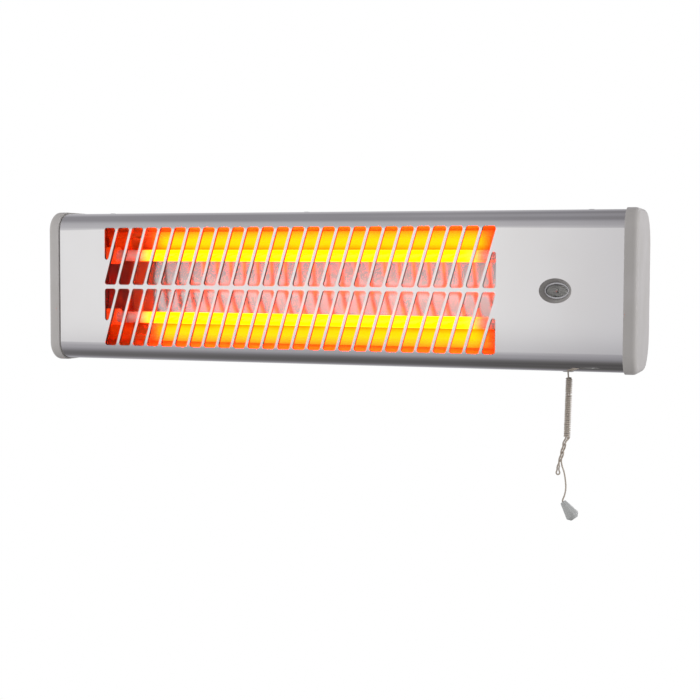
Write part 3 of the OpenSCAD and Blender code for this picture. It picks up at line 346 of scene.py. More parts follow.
way = add_node(room, "ShaderNodeSeparateXYZ",
               links={0: add_node(room, "ShaderNodeTexCoord").outputs["Generated"]})
height = add_node(room, "ShaderNodeMapRange", {1: -1, 2: 1}, {0: way.outputs["Z"]})
band = add_node(room, "ShaderNodeValToRGB", links={0: height.outputs[0]}, stops=ROOM_BY_HEIGHT)
sideways = add_node(room, "ShaderNodeMapRange", {1: -1, 2: 1}, {0: way.outputs["X"]})
leftward = add_node(room, "ShaderNodeValToRGB", links={0: sideways.outputs[0]}, stops=ROOM_BY_SIDE)
mirror_room = add_node(room, "ShaderNodeMath", links={0: band.outputs[0], 1: leftward.outputs[0]},
                       operation="MULTIPLY")
ray = add_node(room, "ShaderNodeLightPath")
for_rough = add_node(room, "ShaderNodeMix", {2: PLAIN_LEVEL},
                     {0: ray.outputs["Is Glossy Ray"], 3: mirror_room.outputs[0]})
clear_ray = add_node(room, "ShaderNodeMath", links={0: ray.outputs["Is Camera Ray"],
                     1: ray.outputs["Is Transmission Ray"]}, operation="MAXIMUM")
level_seen = add_node(room, "ShaderNodeMix", {3: 1},
                      {0: clear_ray.outputs[0], 2: for_rough.outputs[0]})
cool = add_node(room, "ShaderNodeValToRGB", links={0: level_seen.outputs[0]}, stops=COOL_BY_LEVEL)
tint = add_node(room, "ShaderNodeMix", {6: (1, 1, 1, 1)},
                {0: ray.outputs["Is Glossy Ray"], 7: cool.outputs[0]}, data_type="RGBA")
light = add_node(room, "ShaderNodeBackground", links={0: tint.outputs[2], 1: level_seen.outputs[0]})
add_node(room, "ShaderNodeOutputWorld", links={0: light.outputs[0]})
print("room:", len(room.nodes), "nodes")

# %% [markdown]
# The floor is far below, as under a heater on a wall. Three soft boxes stand around: one at the
# front left, one at the right that lights the end cap's outer face, and one behind.

# %% The floor and the soft boxes
FLOOR_Z, FLOOR_HALF = -1.5, 2
floor_mesh = bpy.data.meshes.new("floor")
floor_mesh.from_pydata([(FLOOR_HALF * x, FLOOR_HALF * y, FLOOR_Z)
                        for x, y in ((-1, -1), (1, -1), (1, 1), (-1, 1))], [], [(0, 1, 2, 3)])
floor = bpy.data.objects.new("floor", floor_mesh)
scene.collection.objects.link(floor)
floor.visible_glossy = False

paper = bpy.data.materials.new("white_paper")
paper.use_nodes = True
floor_mesh.materials.append(paper)
paper_tree = paper.node_tree
paper_shader = paper_tree.nodes["Principled BSDF"]
paper_shader.inputs["Base Color"].default_value = linear("#f2f2f2")
paper_shader.inputs["Roughness"].default_value = 0.9
paper_ray = add_node(paper_tree, "ShaderNodeLightPath")
paper_share = add_node(paper_tree, "ShaderNodeMath", {1: 0.85}, {0: paper_ray.outputs["Is Camera Ray"]},
                       operation="MULTIPLY")
paper_white = add_node(paper_tree, "ShaderNodeEmission")
paper_mix = add_node(paper_tree, "ShaderNodeMixShader",
                     links={0: paper_share.outputs[0], 1: paper_shader.outputs[0], 2: paper_white.outputs[0]})
paper_tree.links.new(paper_mix.outputs[0], paper_tree.nodes["Material Output"].inputs["Surface"])

DAYLIGHT, SOFT_BOX_SIZE = (0.96, 0.975, 1), 0.6
SOFT_BOXES = [("front_left", (-0.9, -1.0, 0.3), 6.7), ("right", (1.3, 0.02, 0.15), 9.1),
              ("behind", (0.5, 1.5, 0.9), 9.0)]
for name, place, watts in SOFT_BOXES:
    lamp = bpy.data.objects.new("soft_box_" + name, bpy.data.lights.new(name, "AREA"))
    lamp.data.energy = watts
    lamp.data.shape = "DISK"
    lamp.data.color = DAYLIGHT
    lamp.data.size = SOFT_BOX_SIZE
    lamp.matrix_world = (Matrix.Translation(place)
                         @ (-Vector(place)).to_track_quat("-Z", "Y").to_matrix().to_4x4())
    lamp.visible_glossy = False
    lamp.visible_camera = False
    scene.collection.objects.link(lamp)
print("soft boxes:", [name for name, _, _ in SOFT_BOXES])

# %% [markdown]
# ## Finishes
# Every finish starts the same way: a principled shader and the point on the surface in the
# object's own space. All parts share the frame's origin, so a pattern's scale is a real size.

# %% A finish to start from
def start_finish(name, colour, roughness, **sockets):
    """A material named for its finish. Returns it, its tree, its shader and the point on the surface."""
    material = bpy.data.materials.new(name)
    material.use_nodes = True
    tree = material.node_tree
    shader = tree.nodes["Principled BSDF"]
    shader.inputs["Base Color"].default_value = linear(colour)
    shader.inputs["Roughness"].default_value = roughness
    for socket, value in sockets.items():
        shader.inputs[socket.replace("_", " ")].default_value = value
    return material, tree, shader, add_node(tree, "ShaderNodeTexCoord").outputs["Object"]


def spread(tree, shader, socket, source, low, high):
    """Lets a pattern move a shader's value, or its colour as hex codes, between two limits."""
    low, high = (linear(v) if isinstance(v, str) else v for v in (low, high))
    ramp = add_node(tree, "ShaderNodeValToRGB", links={0: source}, stops=[(0.3, low), (0.7, high)])
    tree.links.new(ramp.outputs[0], shader.inputs[socket])


def emboss(tree, shader, source, depth_mm, strength=1.0):
    """Raises the surface by a pattern, to a depth in millimetres."""
    bump = add_node(tree, "ShaderNodeBump", {"Strength": strength, "Distance": depth_mm * MM},
                    {"Height": source})
    tree.links.new(bump.outputs[0], shader.inputs["Normal"])


# %% [markdown]
# ### Polished stainless steel
# The cover is thin stainless sheet, polished along its length. It mirrors the room softly, and
# its polishing lines draw the reflections out a little along X. The real lines are about
# 0.05 mm apart, too fine for the picture, so they are drawn at 0.5 mm and kept very faint. Wide
# patches of slightly other gloss are what hands and cloths leave.

# %% Sheet metals
def rolled_sheet(name, colour, roughness, line_mm, patch_mm, tint, line_depth=0.002, back=0):
    """Sheet with lines along X, drawn 120 times as long as they are wide, and patches of gloss.

    A face that looks backward keeps the dull finish of the mill when back gives its roughness.
    """
    material, tree, shader, point = start_finish(name, colour, roughness, Metallic=1)
    fine = 1 / (line_mm * MM)
    stretched = add_node(tree, "ShaderNodeMapping", {"Scale": (fine / 120, fine, fine)}, {"Vector": point})
    lines = add_node(tree, "ShaderNodeTexNoise", {"Scale": 1, "Detail": 3}, {"Vector": stretched.outputs[0]})
    patches = add_node(tree, "ShaderNodeTexNoise", {"Scale": 1 / (patch_mm * MM), "Detail": 3},
                       {"Vector": point})
    both = add_node(tree, "ShaderNodeMath", {2: 0.25}, {0: lines.outputs[0], 1: patches.outputs[0]},
                    operation="MULTIPLY_ADD")
    spread(tree, shader, "Roughness", both.outputs[0], roughness * 0.75, roughness * 1.3)
    spread(tree, shader, "Base Color", patches.outputs[0], colour, tint)
    emboss(tree, shader, lines.outputs[0], line_depth, 0.25)
    if back:
        gloss = shader.inputs["Roughness"].links[0].from_socket
        facing = add_node(tree, "ShaderNodeSeparateXYZ",
                          links={0: add_node(tree, "ShaderNodeTexCoord").outputs["Normal"]})
        dull = add_node(tree, "ShaderNodeMath", {1: back}, {0: facing.outputs["Y"]}, operation="MULTIPLY")
        duller = add_node(tree, "ShaderNodeMath", links={0: gloss, 1: dull.outputs[0]}, operation="MAXIMUM")
        tree.links.new(duller.outputs[0], shader.inputs["Roughness"])
    return material


polished_stainless = rolled_sheet("polished_stainless", "#e9e8e7", 0.06, 0.5, 90, "#e5e3e1", back=0.7)
satin_steel = rolled_sheet("satin_coated_steel", "#c3c3c2", 0.36, 0.8, 40, "#b7b7b6", 0.004)
print(polished_stainless.name, satin_steel.name)

# %% [markdown]
# ### Bright reflector
# The troughs are bright rolled aluminium. The middle one stays bright and mirrors the grille. The
# outer ones lie close to the tubes. Their colour is painted in bands along the trough, a painted
# reflection of the tubes' glow: orange beside the tube and at the outer edge, yellow between. The
# steep flanks past them are much duller, as the rolling lines run across their bend. The end plates
# are steel with a dark red oxide, which also glows in the light of the tubes.

# %% Reflector finishes
# Heights in millimetres of the painted reflection: bands of colour that stand for the tubes' glow mirrored in
# the troughs.
GLOW_BAND_FROM, GLOW_BAND_TO = 24, 56
HEATED_Z, FLANK_Z = (26, 33), (40, 52)
PAINTED_GLOW_BANDS = [(26, "#f4eee8"), (32, "#d98a50"), (34.5, "#dc7f50"), (37, "#e4ad6c"), (40, "#ecd28c"),
              (44, "#ecd890"), (48, "#e6c87e"), (51.5, "#e0b070"), (55, "#e6c880")]


def glow_painted(name):
    """Aluminium that is bright in the middle, has the tubes' glow painted in bands outside, and is dull on
    the flanks.
    """
    material, tree, shader, point = start_finish(name, PAINTED_GLOW_BANDS[0][1], 0.07, Metallic=0.95)
    place = add_node(tree, "ShaderNodeSeparateXYZ", links={0: point})
    out = add_node(tree, "ShaderNodeMath", links={0: place.outputs["Z"]}, operation="ABSOLUTE")
    clouds = add_node(tree, "ShaderNodeTexNoise", {"Scale": 1 / (12 * MM), "Detail": 3}, {"Vector": point})
    uneven = add_node(tree, "ShaderNodeMath", {1: 3 * MM}, {0: clouds.outputs[0], 2: out.outputs[0]},
                      operation="MULTIPLY_ADD")
    heated = add_node(tree, "ShaderNodeMapRange", {1: HEATED_Z[0] * MM, 2: HEATED_Z[1] * MM},
                      {0: uneven.outputs[0]})
    flank = add_node(tree, "ShaderNodeMapRange", {1: FLANK_Z[0] * MM, 2: FLANK_Z[1] * MM},
                     {0: out.outputs[0]})
    across = add_node(tree, "ShaderNodeMapRange", {1: GLOW_BAND_FROM * MM, 2: GLOW_BAND_TO * MM},
                      {0: uneven.outputs[0]})
    # Painted reflection of the glow: the colour goes by height, orange beside the tube and at the outer edge,
    # yellow between.
    tinted = add_node(tree, "ShaderNodeValToRGB", links={0: across.outputs[0]}, stops=[
        ((z - GLOW_BAND_FROM) / (GLOW_BAND_TO - GLOW_BAND_FROM), linear(code)) for z, code in PAINTED_GLOW_BANDS])
    tree.links.new(tinted.outputs[0], shader.inputs["Base Color"])
    duller = add_node(tree, "ShaderNodeMath", {1: 0.03, 2: 0.1}, {0: heated.outputs[0]},
                      operation="MULTIPLY_ADD")
    dullest = add_node(tree, "ShaderNodeMath", {1: 0.34}, {0: flank.outputs[0], 2: duller.outputs[0]},
                       operation="MULTIPLY_ADD")
    tree.links.new(dullest.outputs[0], shader.inputs["Roughness"])
    return material


bright_reflector = glow_painted("aluminium_with_painted_glow")


def heat_stained(name):
    """The end plates: steel with a mottled dark red oxide, mirror-like where it is thinner."""
    material, tree, shader, point = start_finish(name, "#8c3a2c", 0.3, Metallic=1)
    mottle = add_node(tree, "ShaderNodeTexNoise", {"Scale": 1 / (16 * MM), "Detail": 2.5}, {"Vector": point})
    spread(tree, shader, "Base Color", mottle.outputs[0], "#b4190b", "#6a4048")
    spread(tree, shader, "Roughness", mottle.outputs[0], 0.24, 0.42)
    emboss(tree, shader, mottle.outputs[0], 0.02, 0.2)
    return material


stained_plate = heat_stained("heat_stained_steel")
print(bright_reflector.name, stained_plate.name)

# %% [markdown]
# ### Moulded plastics
# The end caps, knobs, gland, switch and grip are moulded. A mould for such parts is spark-eroded
# and leaves a fine grain of 0.2 to 0.5 mm, which spreads the shine. Wide, faint clouds come from
# the way the plastic flowed.

# %% Mouldings
def moulding(name, colour, cloud_colour, roughness, grain_mm, grain_depth, cloud_mm=25, **sockets):
    """Moulded plastic: a fine grain that breaks up the shine, and wide clouds in the colour."""
    material, tree, shader, point = start_finish(name, colour, roughness, **sockets)
    grain = add_node(tree, "ShaderNodeTexNoise", {"Scale": 1 / (grain_mm * MM), "Detail": 2},
                     {"Vector": point})
    clouds = add_node(tree, "ShaderNodeTexNoise", {"Scale": 1 / (cloud_mm * MM), "Detail": 4},
                      {"Vector": point})
    spread(tree, shader, "Base Color", clouds.outputs[0], colour, cloud_colour)
    spread(tree, shader, "Roughness", clouds.outputs[0], roughness * 0.9, roughness * 1.1)
    emboss(tree, shader, grain.outputs[0], grain_depth, 0.5)
    return material


grey_moulding = moulding("warm_grey_abs", "#b0acaa", "#aba7a4", 0.42, 0.35, 0.02)
black_moulding = moulding("black_glass_filled_nylon", "#2b2b2c", "#242425", 0.48, 0.3, 0.03)
switch_moulding = moulding("ivory_phenolic", "#dfdccf", "#d6d2c3", 0.4, 0.3, 0.01)
drum_white = moulding("white_acetal", "#dededc", "#d6d6d3", 0.55, 0.25, 0.008, 12)
grip_moulding = moulding("silver_grey_abs", "#b2b2b0", "#aaabaa", 0.36, 0.5, 0.0015, 8, Coat_Weight=0.2)
print("mouldings:", grey_moulding.name, black_moulding.name, grip_moulding.name)

# %% [markdown]
# ### Small metal parts and paint
# Screws, rivets, studs and clips are zinc plated: a pale metal with a fine sparkle and slight
# stains. Contacts are bare brass. The ring round the lens is satin chrome on plastic, which
# mirrors softly. The wall bracket is powder coated, which leaves an orange peel about 1 mm
# across.

# %% Plated parts and paint
def plated(name, colour, stain, roughness, grain_mm):
    """Plated or bare metal, with a fine crystal grain and stains ten times as wide."""
    material, tree, shader, point = start_finish(name, colour, roughness, Metallic=1)
    grain = add_node(tree, "ShaderNodeTexVoronoi", {"Scale": 1 / (grain_mm * MM)}, {"Vector": point})
    stains = add_node(tree, "ShaderNodeTexNoise", {"Scale": 0.1 / (grain_mm * MM), "Detail": 4},
                      {"Vector": point})
    spread(tree, shader, "Base Color", stains.outputs[0], colour, stain)
    spread(tree, shader, "Roughness", grain.outputs[0], roughness * 0.8, roughness * 1.2)
    return material


def powder_coat(name, colour, worn, peel_mm):
    """Powder coat: orange peel, and a colour that is slightly rubbed at the edges."""
    material, tree, shader, point = start_finish(name, colour, 0.5)
    peel = add_node(tree, "ShaderNodeTexNoise", {"Scale": 1 / (peel_mm * MM), "Detail": 2}, {"Vector": point})
    edge = add_node(tree, "ShaderNodeNewGeometry").outputs["Pointiness"]
    rubbed = add_node(tree, "ShaderNodeMapRange", {1: 0.52, 2: 0.6}, {0: edge})
    spread(tree, shader, "Base Color", rubbed.outputs[0], colour, worn)
    spread(tree, shader, "Roughness", peel.outputs[0], 0.42, 0.56)
    emboss(tree, shader, peel.outputs[0], 0.05, 0.6)
    return material


zinc_plate = plated("zinc_plated_steel", "#c9cbcc", "#bcbcb4", 0.3, 0.4)
bare_brass = plated("bare_brass", "#d8b15e", "#c39a4b", 0.28, 0.5)
chrome_trim = plated("satin_chrome_plated_abs", "#d9d8d7", "#d0cfce", 0.27, 1.5)
bracket_paint = powder_coat("grey_powder_coat", "#959595", "#a5a5a4", 1.1)
print(zinc_plate.name, bare_brass.name, chrome_trim.name, bracket_paint.name)

# %% [markdown]
# ### Ceramic, fibre and wire sleeves
# The tubes sit in glazed ceramic holders, whose glaze is glossy with tiny specks. Their colour is
# a brown darker than the real off-white steatite, and they carry a painted red glow: a faint
# emission that stands for the tubes' light falling on them. The friction washers are pressed brown
# fibre. The wires have heat-proof braided sleeves.

# %% Ceramic, fibre and sleeves
def ceramic_with_painted_glow(name):
    # The brown base is darker than the real off-white steatite, so that the white room light does not wash
    # out the painted red glow.
    material, tree, shader, point = start_finish(name, "#a37a5e", 0.22, Coat_Weight=0.3)
    # Painted glow: a faint red emission that stands for the tubes' light falling on the holders.
    shader.inputs["Emission Color"].default_value = (1, 0.05, 0.001, 1)
    shader.inputs["Emission Strength"].default_value = 0.7
    specks = add_node(tree, "ShaderNodeTexVoronoi", {"Scale": 1 / (1.2 * MM)}, {"Vector": point})
    spread(tree, shader, "Base Color", specks.outputs[0], "#8f6247", "#ab8268")
    emboss(tree, shader, specks.outputs[0], 0.01, 0.3)
    return material


def pressed_fibre(name):
    material, tree, shader, point = start_finish(name, "#8a5a3a", 0.75)
    fibres = add_node(tree, "ShaderNodeTexNoise", {"Scale": 1 / (0.6 * MM), "Detail": 6, "Distortion": 1.5},
                      {"Vector": point})
    spread(tree, shader, "Base Color", fibres.outputs[0], "#6f4527", "#9c6a45")
    emboss(tree, shader, fibres.outputs[0], 0.05, 0.7)
    return material


def braided_sleeve(name, colour, light_thread):
    """A glass-silk sleeve: crossing threads 0.5 mm wide, drawn as two sets of slanted waves."""
    material, tree, shader, point = start_finish(name, colour, 0.65, Sheen_Weight=0.2)
    sets = []
    for lean in (1, -1):
        turned = add_node(tree, "ShaderNodeMapping", {"Scale": (1, lean, lean)}, {"Vector": point})
        sets.append(add_node(tree, "ShaderNodeTexWave", {"Scale": 1 / (2 * MM), "Distortion": 0.5},
                             {"Vector": turned.outputs[0]}, bands_direction="DIAGONAL"))
    woven = add_node(tree, "ShaderNodeMath", links={0: sets[0].outputs[1], 1: sets[1].outputs[1]},
                     operation="MULTIPLY")
    spread(tree, shader, "Base Color", woven.outputs[0], colour, light_thread)
    emboss(tree, shader, woven.outputs[0], 0.08, 0.8)
    return material


ceramic = ceramic_with_painted_glow("steatite_with_painted_glow")
friction_fibre = pressed_fibre("pressed_fibre")
wire_sleeve = braided_sleeve("braided_glass_silk", "#8f2f28", "#b24a3d")
print(ceramic.name, friction_fibre.name, wire_sleeve.name)

# %% [markdown]
# ### Braided cord
# The cord is spun and braided polyester, beige grey. Two sets of yarns cross at a slant, each
# about 0.6 mm wide along the cord. The tube's corners carry the run along it and the turn round
# it, so the slanted waves close neatly round the cord. Sheen gives the soft edge that loose fibres
# make.

# %% The cord's finish
def braided_cord(name, colour, shade, yarn_mm):
    """Crossing yarns: one wave climbs to the left and one to the right, and their product is the braid."""
    material, tree, shader, point = start_finish(name, colour, 0.7, Sheen_Weight=0.4, Sheen_Roughness=0.5)
    carried = add_node(tree, "ShaderNodeAttribute", attribute_name="along_and_round")
    parts = add_node(tree, "ShaderNodeSeparateXYZ", links={0: carried.outputs["Vector"]})
    waves = []
    for lean in (1, -1):
        slanted = add_node(tree, "ShaderNodeMath", {1: 4 * lean}, {0: parts.outputs[1]}, operation="MULTIPLY")
        phase = add_node(tree, "ShaderNodeMath", {1: 1 / (2 * yarn_mm * MM)},
                         {0: parts.outputs[0], 2: slanted.outputs[0]}, operation="MULTIPLY_ADD")
        turns = add_node(tree, "ShaderNodeMath", {1: 2 * math.pi}, {0: phase.outputs[0]},
                         operation="MULTIPLY")
        waves.append(add_node(tree, "ShaderNodeMath", links={0: turns.outputs[0]}, operation="SINE"))
    crossing = add_node(tree, "ShaderNodeMath", {1: 0.5}, {0: waves[0].outputs[0]}, operation="MULTIPLY")
    braid = add_node(tree, "ShaderNodeMath", {2: 0.5}, {0: crossing.outputs[0], 1: waves[1].outputs[0]},
                     operation="MULTIPLY_ADD")
    dirt = add_node(tree, "ShaderNodeTexNoise", {"Scale": 1 / (4 * MM), "Detail": 4}, {"Vector": point})
    mixed = add_node(tree, "ShaderNodeMath", {1: 0.6}, {0: dirt.outputs[0], 2: braid.outputs[0]},
                     operation="MULTIPLY_ADD")
    halved = add_node(tree, "ShaderNodeMath", {1: 0.62}, {0: mixed.outputs[0]}, operation="MULTIPLY")
    spread(tree, shader, "Base Color", halved.outputs[0], shade, colour)
    emboss(tree, shader, braid.outputs[0], 0.08, 0.8)
    return material


cord_yarn = braided_cord("braided_polyester", "#bbb0a4", "#a4978a", 0.6)
pull_cord.data.materials.append(cord_yarn)
grip.data.materials.append(grip_moulding)
print(cord_yarn.name)

# %% [markdown]
# ## Glowing tubes
# Each element is a coil of resistance wire in a clear quartz tube. In use the heated length is
# so bright that a camera sees one even yellow band with an orange light around it. The band
# ends where the coil ends, and the tube is clear from there to its holder. The tube stays glass,
# and an emission is added over the coil's length only. The colour is orange in linear light, and
# its strength is what drives it to yellow in the picture. Over the same length the glass's own
# colour is painted orange too, a painted glow that stands for the coil's light seen through it.

# %% Quartz with a glow
HEATED_X = (-0.187, 0.134)
GLOW_COLOUR = (1.0, 0.095, 0.0, 1)
GLOW_STRENGTH = 10
FADE = 12 * MM


def glow_mask(tree, point, ends, fade):
    """1 over the heated length, fading to 0 past each end."""
    along = add_node(tree, "ShaderNodeSeparateXYZ", links={0: point}).outputs["X"]
    rises = [add_node(tree, "ShaderNodeMapRange", {1: end - 0.4 * inward, 2: end + 1.6 * inward}, {0: along},
                      interpolation_type="SMOOTHERSTEP") for end, inward in zip(ends, (fade, -fade))]
    return add_node(tree, "ShaderNodeMath", links={0: rises[0].outputs[0], 1: rises[1].outputs[0]},
                    operation="MULTIPLY").outputs[0]


def glowing_quartz(name):
    clear = "#fff1ec"
    material, tree, shader, point = start_finish(name, clear, 0.04, IOR=1.46, Transmission_Weight=0.55)
    mask = glow_mask(tree, point, HEATED_X, FADE)
    colour = add_node(tree, "ShaderNodeMix", {6: (0, 0, 0, 1), 7: GLOW_COLOUR}, {0: mask}, data_type="RGBA")
    tree.links.new(colour.outputs[2], shader.inputs["Emission Color"])
    shader.inputs["Emission Strength"].default_value = GLOW_STRENGTH
    # Painted glow: over the heated length the glass's own colour turns orange, standing for the coil's light
    # seen through it.
    tinted = add_node(tree, "ShaderNodeMix", {6: linear(clear), 7: linear("#ff6a00")}, {0: mask},
                      data_type="RGBA")
    tree.links.new(tinted.outputs[2], shader.inputs["Base Color"])
    haze = add_node(tree, "ShaderNodeTexNoise", {"Scale": 1 / (6 * MM), "Detail": 3}, {"Vector": point})
    spread(tree, shader, "Roughness", haze.outputs[0], 0.02, 0.09)
    return material


quartz = glowing_quartz("clear_quartz_with_glow")
print("heated length:", round(HEATED_X[1] - HEATED_X[0], 3), "m")

# %% [markdown]
# The coil itself is a helix of 0.6 mm wire, which the frame draws as a plain sleeve. Its straight
# ends run on to the holders.

# %% Heating coils
COIL_R, COIL_WIRE, COIL_PITCH, COIL_STEPS = 3.3, 0.6, 2.4, 12


def glowing_wire(name):
    material, tree, shader, point = start_finish(name, "#5a5450", 0.5, Metallic=1)
    mask = glow_mask(tree, point, HEATED_X, FADE)
    colour = add_node(tree, "ShaderNodeMix", {6: (0.02, 0.004, 0, 1), 7: (1, 0.12, 0, 1)}, {0: mask},
                      data_type="RGBA")
    tree.links.new(colour.outputs[2], shader.inputs["Emission Color"])
    shader.inputs["Emission Strength"].default_value = 3
    scale = add_node(tree, "ShaderNodeTexNoise", {"Scale": 1 / (1.5 * MM), "Detail": 3}, {"Vector": point})
    spread(tree, shader, "Roughness", scale.outputs[0], 0.4, 0.6)
    return material


def heating_coil(name, node):
    """A helix on the tube's axis, between straight ends that reach as far as the frame's coil."""
    low, high = (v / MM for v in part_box(node))
    y, z = (low.y + high.y) / 2, (low.z + high.z) / 2
    start, end = (x / MM for x in HEATED_X)
    turns = round((end - start) / COIL_PITCH)
    helix = [Vector((start + (end - start) * t, y + COIL_R * math.sin(2 * math.pi * turns * t),
                     z + COIL_R * math.cos(2 * math.pi * turns * t)))
             for t in (k / (turns * COIL_STEPS) for k in range(turns * COIL_STEPS + 1))]
    lead_in = [Vector((x, y, z + rise))
               for x, rise in ((low.x + 0.3, 0), (start - 2.5, 0), (start - 1, COIL_R / 2))]
    lead_out = [Vector((x, y, z + rise))
                for x, rise in ((end + 1, COIL_R / 2), (end + 2.5, 0), (high.x - 0.3, 0))]
    route = lead_in + helix + lead_out
    mesh, length = sweep_tube(name, [p * MM for p in route], COIL_WIRE / 2 * MM, 6)
    coil = new_piece(name, mesh, "head", hot_wire)
    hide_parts(node)
    return length


hot_wire = glowing_wire("glowing_resistance_wire")
print("wire in each coil:", [round(heating_coil("coil_wire_" + k, "heating_coil_" + k), 2)
                             for k in ("upper", "lower")], "m")

# %% [markdown]
# ## Reflector
# Behind the tubes lies one sheet, pressed into three troughs. The one above the upper tube and
# the one below the lower tube have the tube at their focus, so they look full of its light. The
# shallow one in the middle shows the back of the grille instead, upside down. The frame has the
# same section in short flats, which would break the mirror image into bands, so the sheet is
# lofted again from many narrow strips.

# %% The reflector's sheet
HALF_W, HALF_H, BODY_D, FRONT_Y = 267, 66.25, 82, -107
REFLECTOR = (-HALF_W + 35, HALF_W - 95)
TUBE_Z, TUBE_DEPTH = 28.3, 28
OUTER_FOCUS, MIDDLE_FOCUS, TROUGH_EDGE, SHEET_T, SKIRT_LIP = 15, 30, 50, 0.8, (4.5, HALF_H - 7.8)
STRIPS = 26


def dish(z):
    """Depth of the reflector behind the front face at a height above the middle."""
    crest = TUBE_DEPTH + OUTER_FOCUS
    if z < TUBE_Z:
        return crest + (TUBE_Z ** 2 - z ** 2) / (4 * MIDDLE_FOCUS)
    return crest - (z - TUBE_Z) ** 2 / (4 * OUTER_FOCUS)


upper_half = [(dish(z), z) for z in [TUBE_Z * k / STRIPS for k in range(STRIPS)]
              + [TUBE_Z + (TROUGH_EDGE - TUBE_Z) * k / STRIPS for k in range(STRIPS + 1)]] + [SKIRT_LIP]
section = [Vector((d, -z)) for d, z in upper_half[:0:-1]] + [Vector(p) for p in upper_half]
behind = []
for k, point in enumerate(section):
    run = (section[min(k + 1, len(section) - 1)] - section[max(k - 1, 0)]).normalized()
    behind.append(point + SHEET_T * Vector((run.y, -run.x)))
outline = section + behind[::-1]
sheet_bm = bmesh.new()
loft(sheet_bm, [[in_metres((x, FRONT_Y + d, z)) for d, z in outline] for x in REFLECTOR])
bmesh.ops.triangulate(sheet_bm, faces=[f for f in sheet_bm.faces if len(f.verts) > 4])
troughs = new_piece("pressed_troughs", finish_mesh(sheet_bm, "pressed_troughs", 15), "head",
                    bright_reflector)
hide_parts("reflector")
print("troughs:", len(troughs.data.polygons), "faces")

# %% [markdown]
# ## End caps
# A moulded cap closes each end. It stands 1.5 mm proud of the sheet all round, with an edge
# rounded to 4.4 mm at its outer face and a small round at its rim. The frame rounds that edge to
# 3 mm in four flat steps, and leaves the rim square. Here the same outline is lofted with many more
# rings, so that the shine runs round the corner without a break. Three ribs stiffen its end wall
# from inside.

# %% The caps' outline
FRONT_R, REAR_R, COVER_BACK = 15.5, 30, 45.3
CAP_W, CAP_WALL, CAP_PROUD, CAP_ROUND, RIM_ROUND = 11, 2.4, 1.5, 4.4, 0.4
ARC_STEPS = 14


def cap_outline(front_inset, rear_inset):
    """Depth and height round the body, drawn in by one inset at the cover and one behind it."""
    outline = []
    for inset, radius, low, upward in ((front_inset, FRONT_R, 180, -1), (rear_inset, REAR_R, 270, -1),
                                       (rear_inset, REAR_R, 0, 1), (front_inset, FRONT_R, 90, 1)):
        r = radius - inset
        depth = inset + r if radius == FRONT_R else BODY_D - inset - r
        arc = [(depth + r * math.cos(a), upward * (HALF_H - inset - r) + r * math.sin(a))
               for a in (math.radians(low + 90 * k / ARC_STEPS) for k in range(ARC_STEPS + 1))]
        step = [(COVER_BACK + past, upward * (HALF_H - at))
                for past, at in ((-0.01, front_inset), (0.01, rear_inset))]
        if radius == FRONT_R:
            outline += arc + step if upward < 0 else step[::-1] + arc
        else:
            outline += arc
    return outline


def cap_ring(x, front_inset, rear_inset=None, mirrored=1):
    rear_inset = front_inset if rear_inset is None else rear_inset
    return [in_metres((mirrored * x, FRONT_Y + d, z)) for d, z in cap_outline(front_inset, rear_inset)]


# %% The caps' shape
# Each rib inside a cap: the depth of its front and back, then the height of its low and high side
CAP_RIBS = [(11.5, 70, -27.8, -26.2), (11.5, 70, 26.2, 27.8), (40.2, 41.8, -50.5, 50.5)]
RIB_REACH, RIB_ROOT = 5, 1


def end_cap(name, node, mirrored):
    inside, rim = HALF_W - CAP_WALL, HALF_W - CAP_W
    rings = [(inside, -0.15, 0.65), (rim, -0.15, 0.65), (rim, RIM_ROUND - CAP_PROUD, None)]
    rings += [(rim + RIM_ROUND * (1 - math.cos(a)), -CAP_PROUD + RIM_ROUND * (1 - math.sin(a)), None)
              for a in (math.pi / 2 * k / 4 for k in range(1, 5))]
    rings += [(HALF_W - CAP_ROUND * (1 - math.sin(a)), -CAP_PROUD + CAP_ROUND * (1 - math.cos(a)), None)
              for a in (math.pi / 2 * k / 10 for k in range(11))]
    bm = bmesh.new()
    loft(bm, [cap_ring(x, front, rear, mirrored) for x, front, rear in rings])
    for front, back, low, high in CAP_RIBS:
        near = Vector((inside - RIB_REACH, FRONT_Y + front, low))
        far = Vector((inside + RIB_ROOT, FRONT_Y + back, high))
        middle, size = (near + far) / 2, far - near
        middle.x *= mirrored
        bmesh.ops.create_cube(bm, size=1, matrix=Matrix.Translation(middle * MM) @ Matrix.Diagonal(
            (*(size * MM), 1)))
    cap = new_piece(name, finish_mesh(bm, name, 40), "head", grey_moulding)
    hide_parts(node)
    return len(cap.data.polygons)


print("cap faces:", end_cap("moulded_cap_left", "left_end_cap", -1),
      end_cap("moulded_cap_right", "right_end_cap", 1))

# %% [markdown]
# ## Screws
# The small screws have pan heads with a cross recess for the screwdriver. One screw is made as
# a turned shape, and the cross is cut from it with a boolean. Copies of its mesh are then put
# where the frame has its plain ones, so each screw stays in its hole.

# %% One screw
THREAD_PITCH = 1.1
THREAD = [(1.45, -0.3), (1.45, -0.5), (1.12, -0.75), (1.12, -1.05)]


def turned(bm, outline, steps=40):
    """A solid turned round Z from an outline of radius and height, both in millimetres."""
    loft(bm, [[in_metres((r * math.cos(a), r * math.sin(a), z))
               for a in (2 * math.pi * k / steps for k in range(steps))] for r, z in outline])


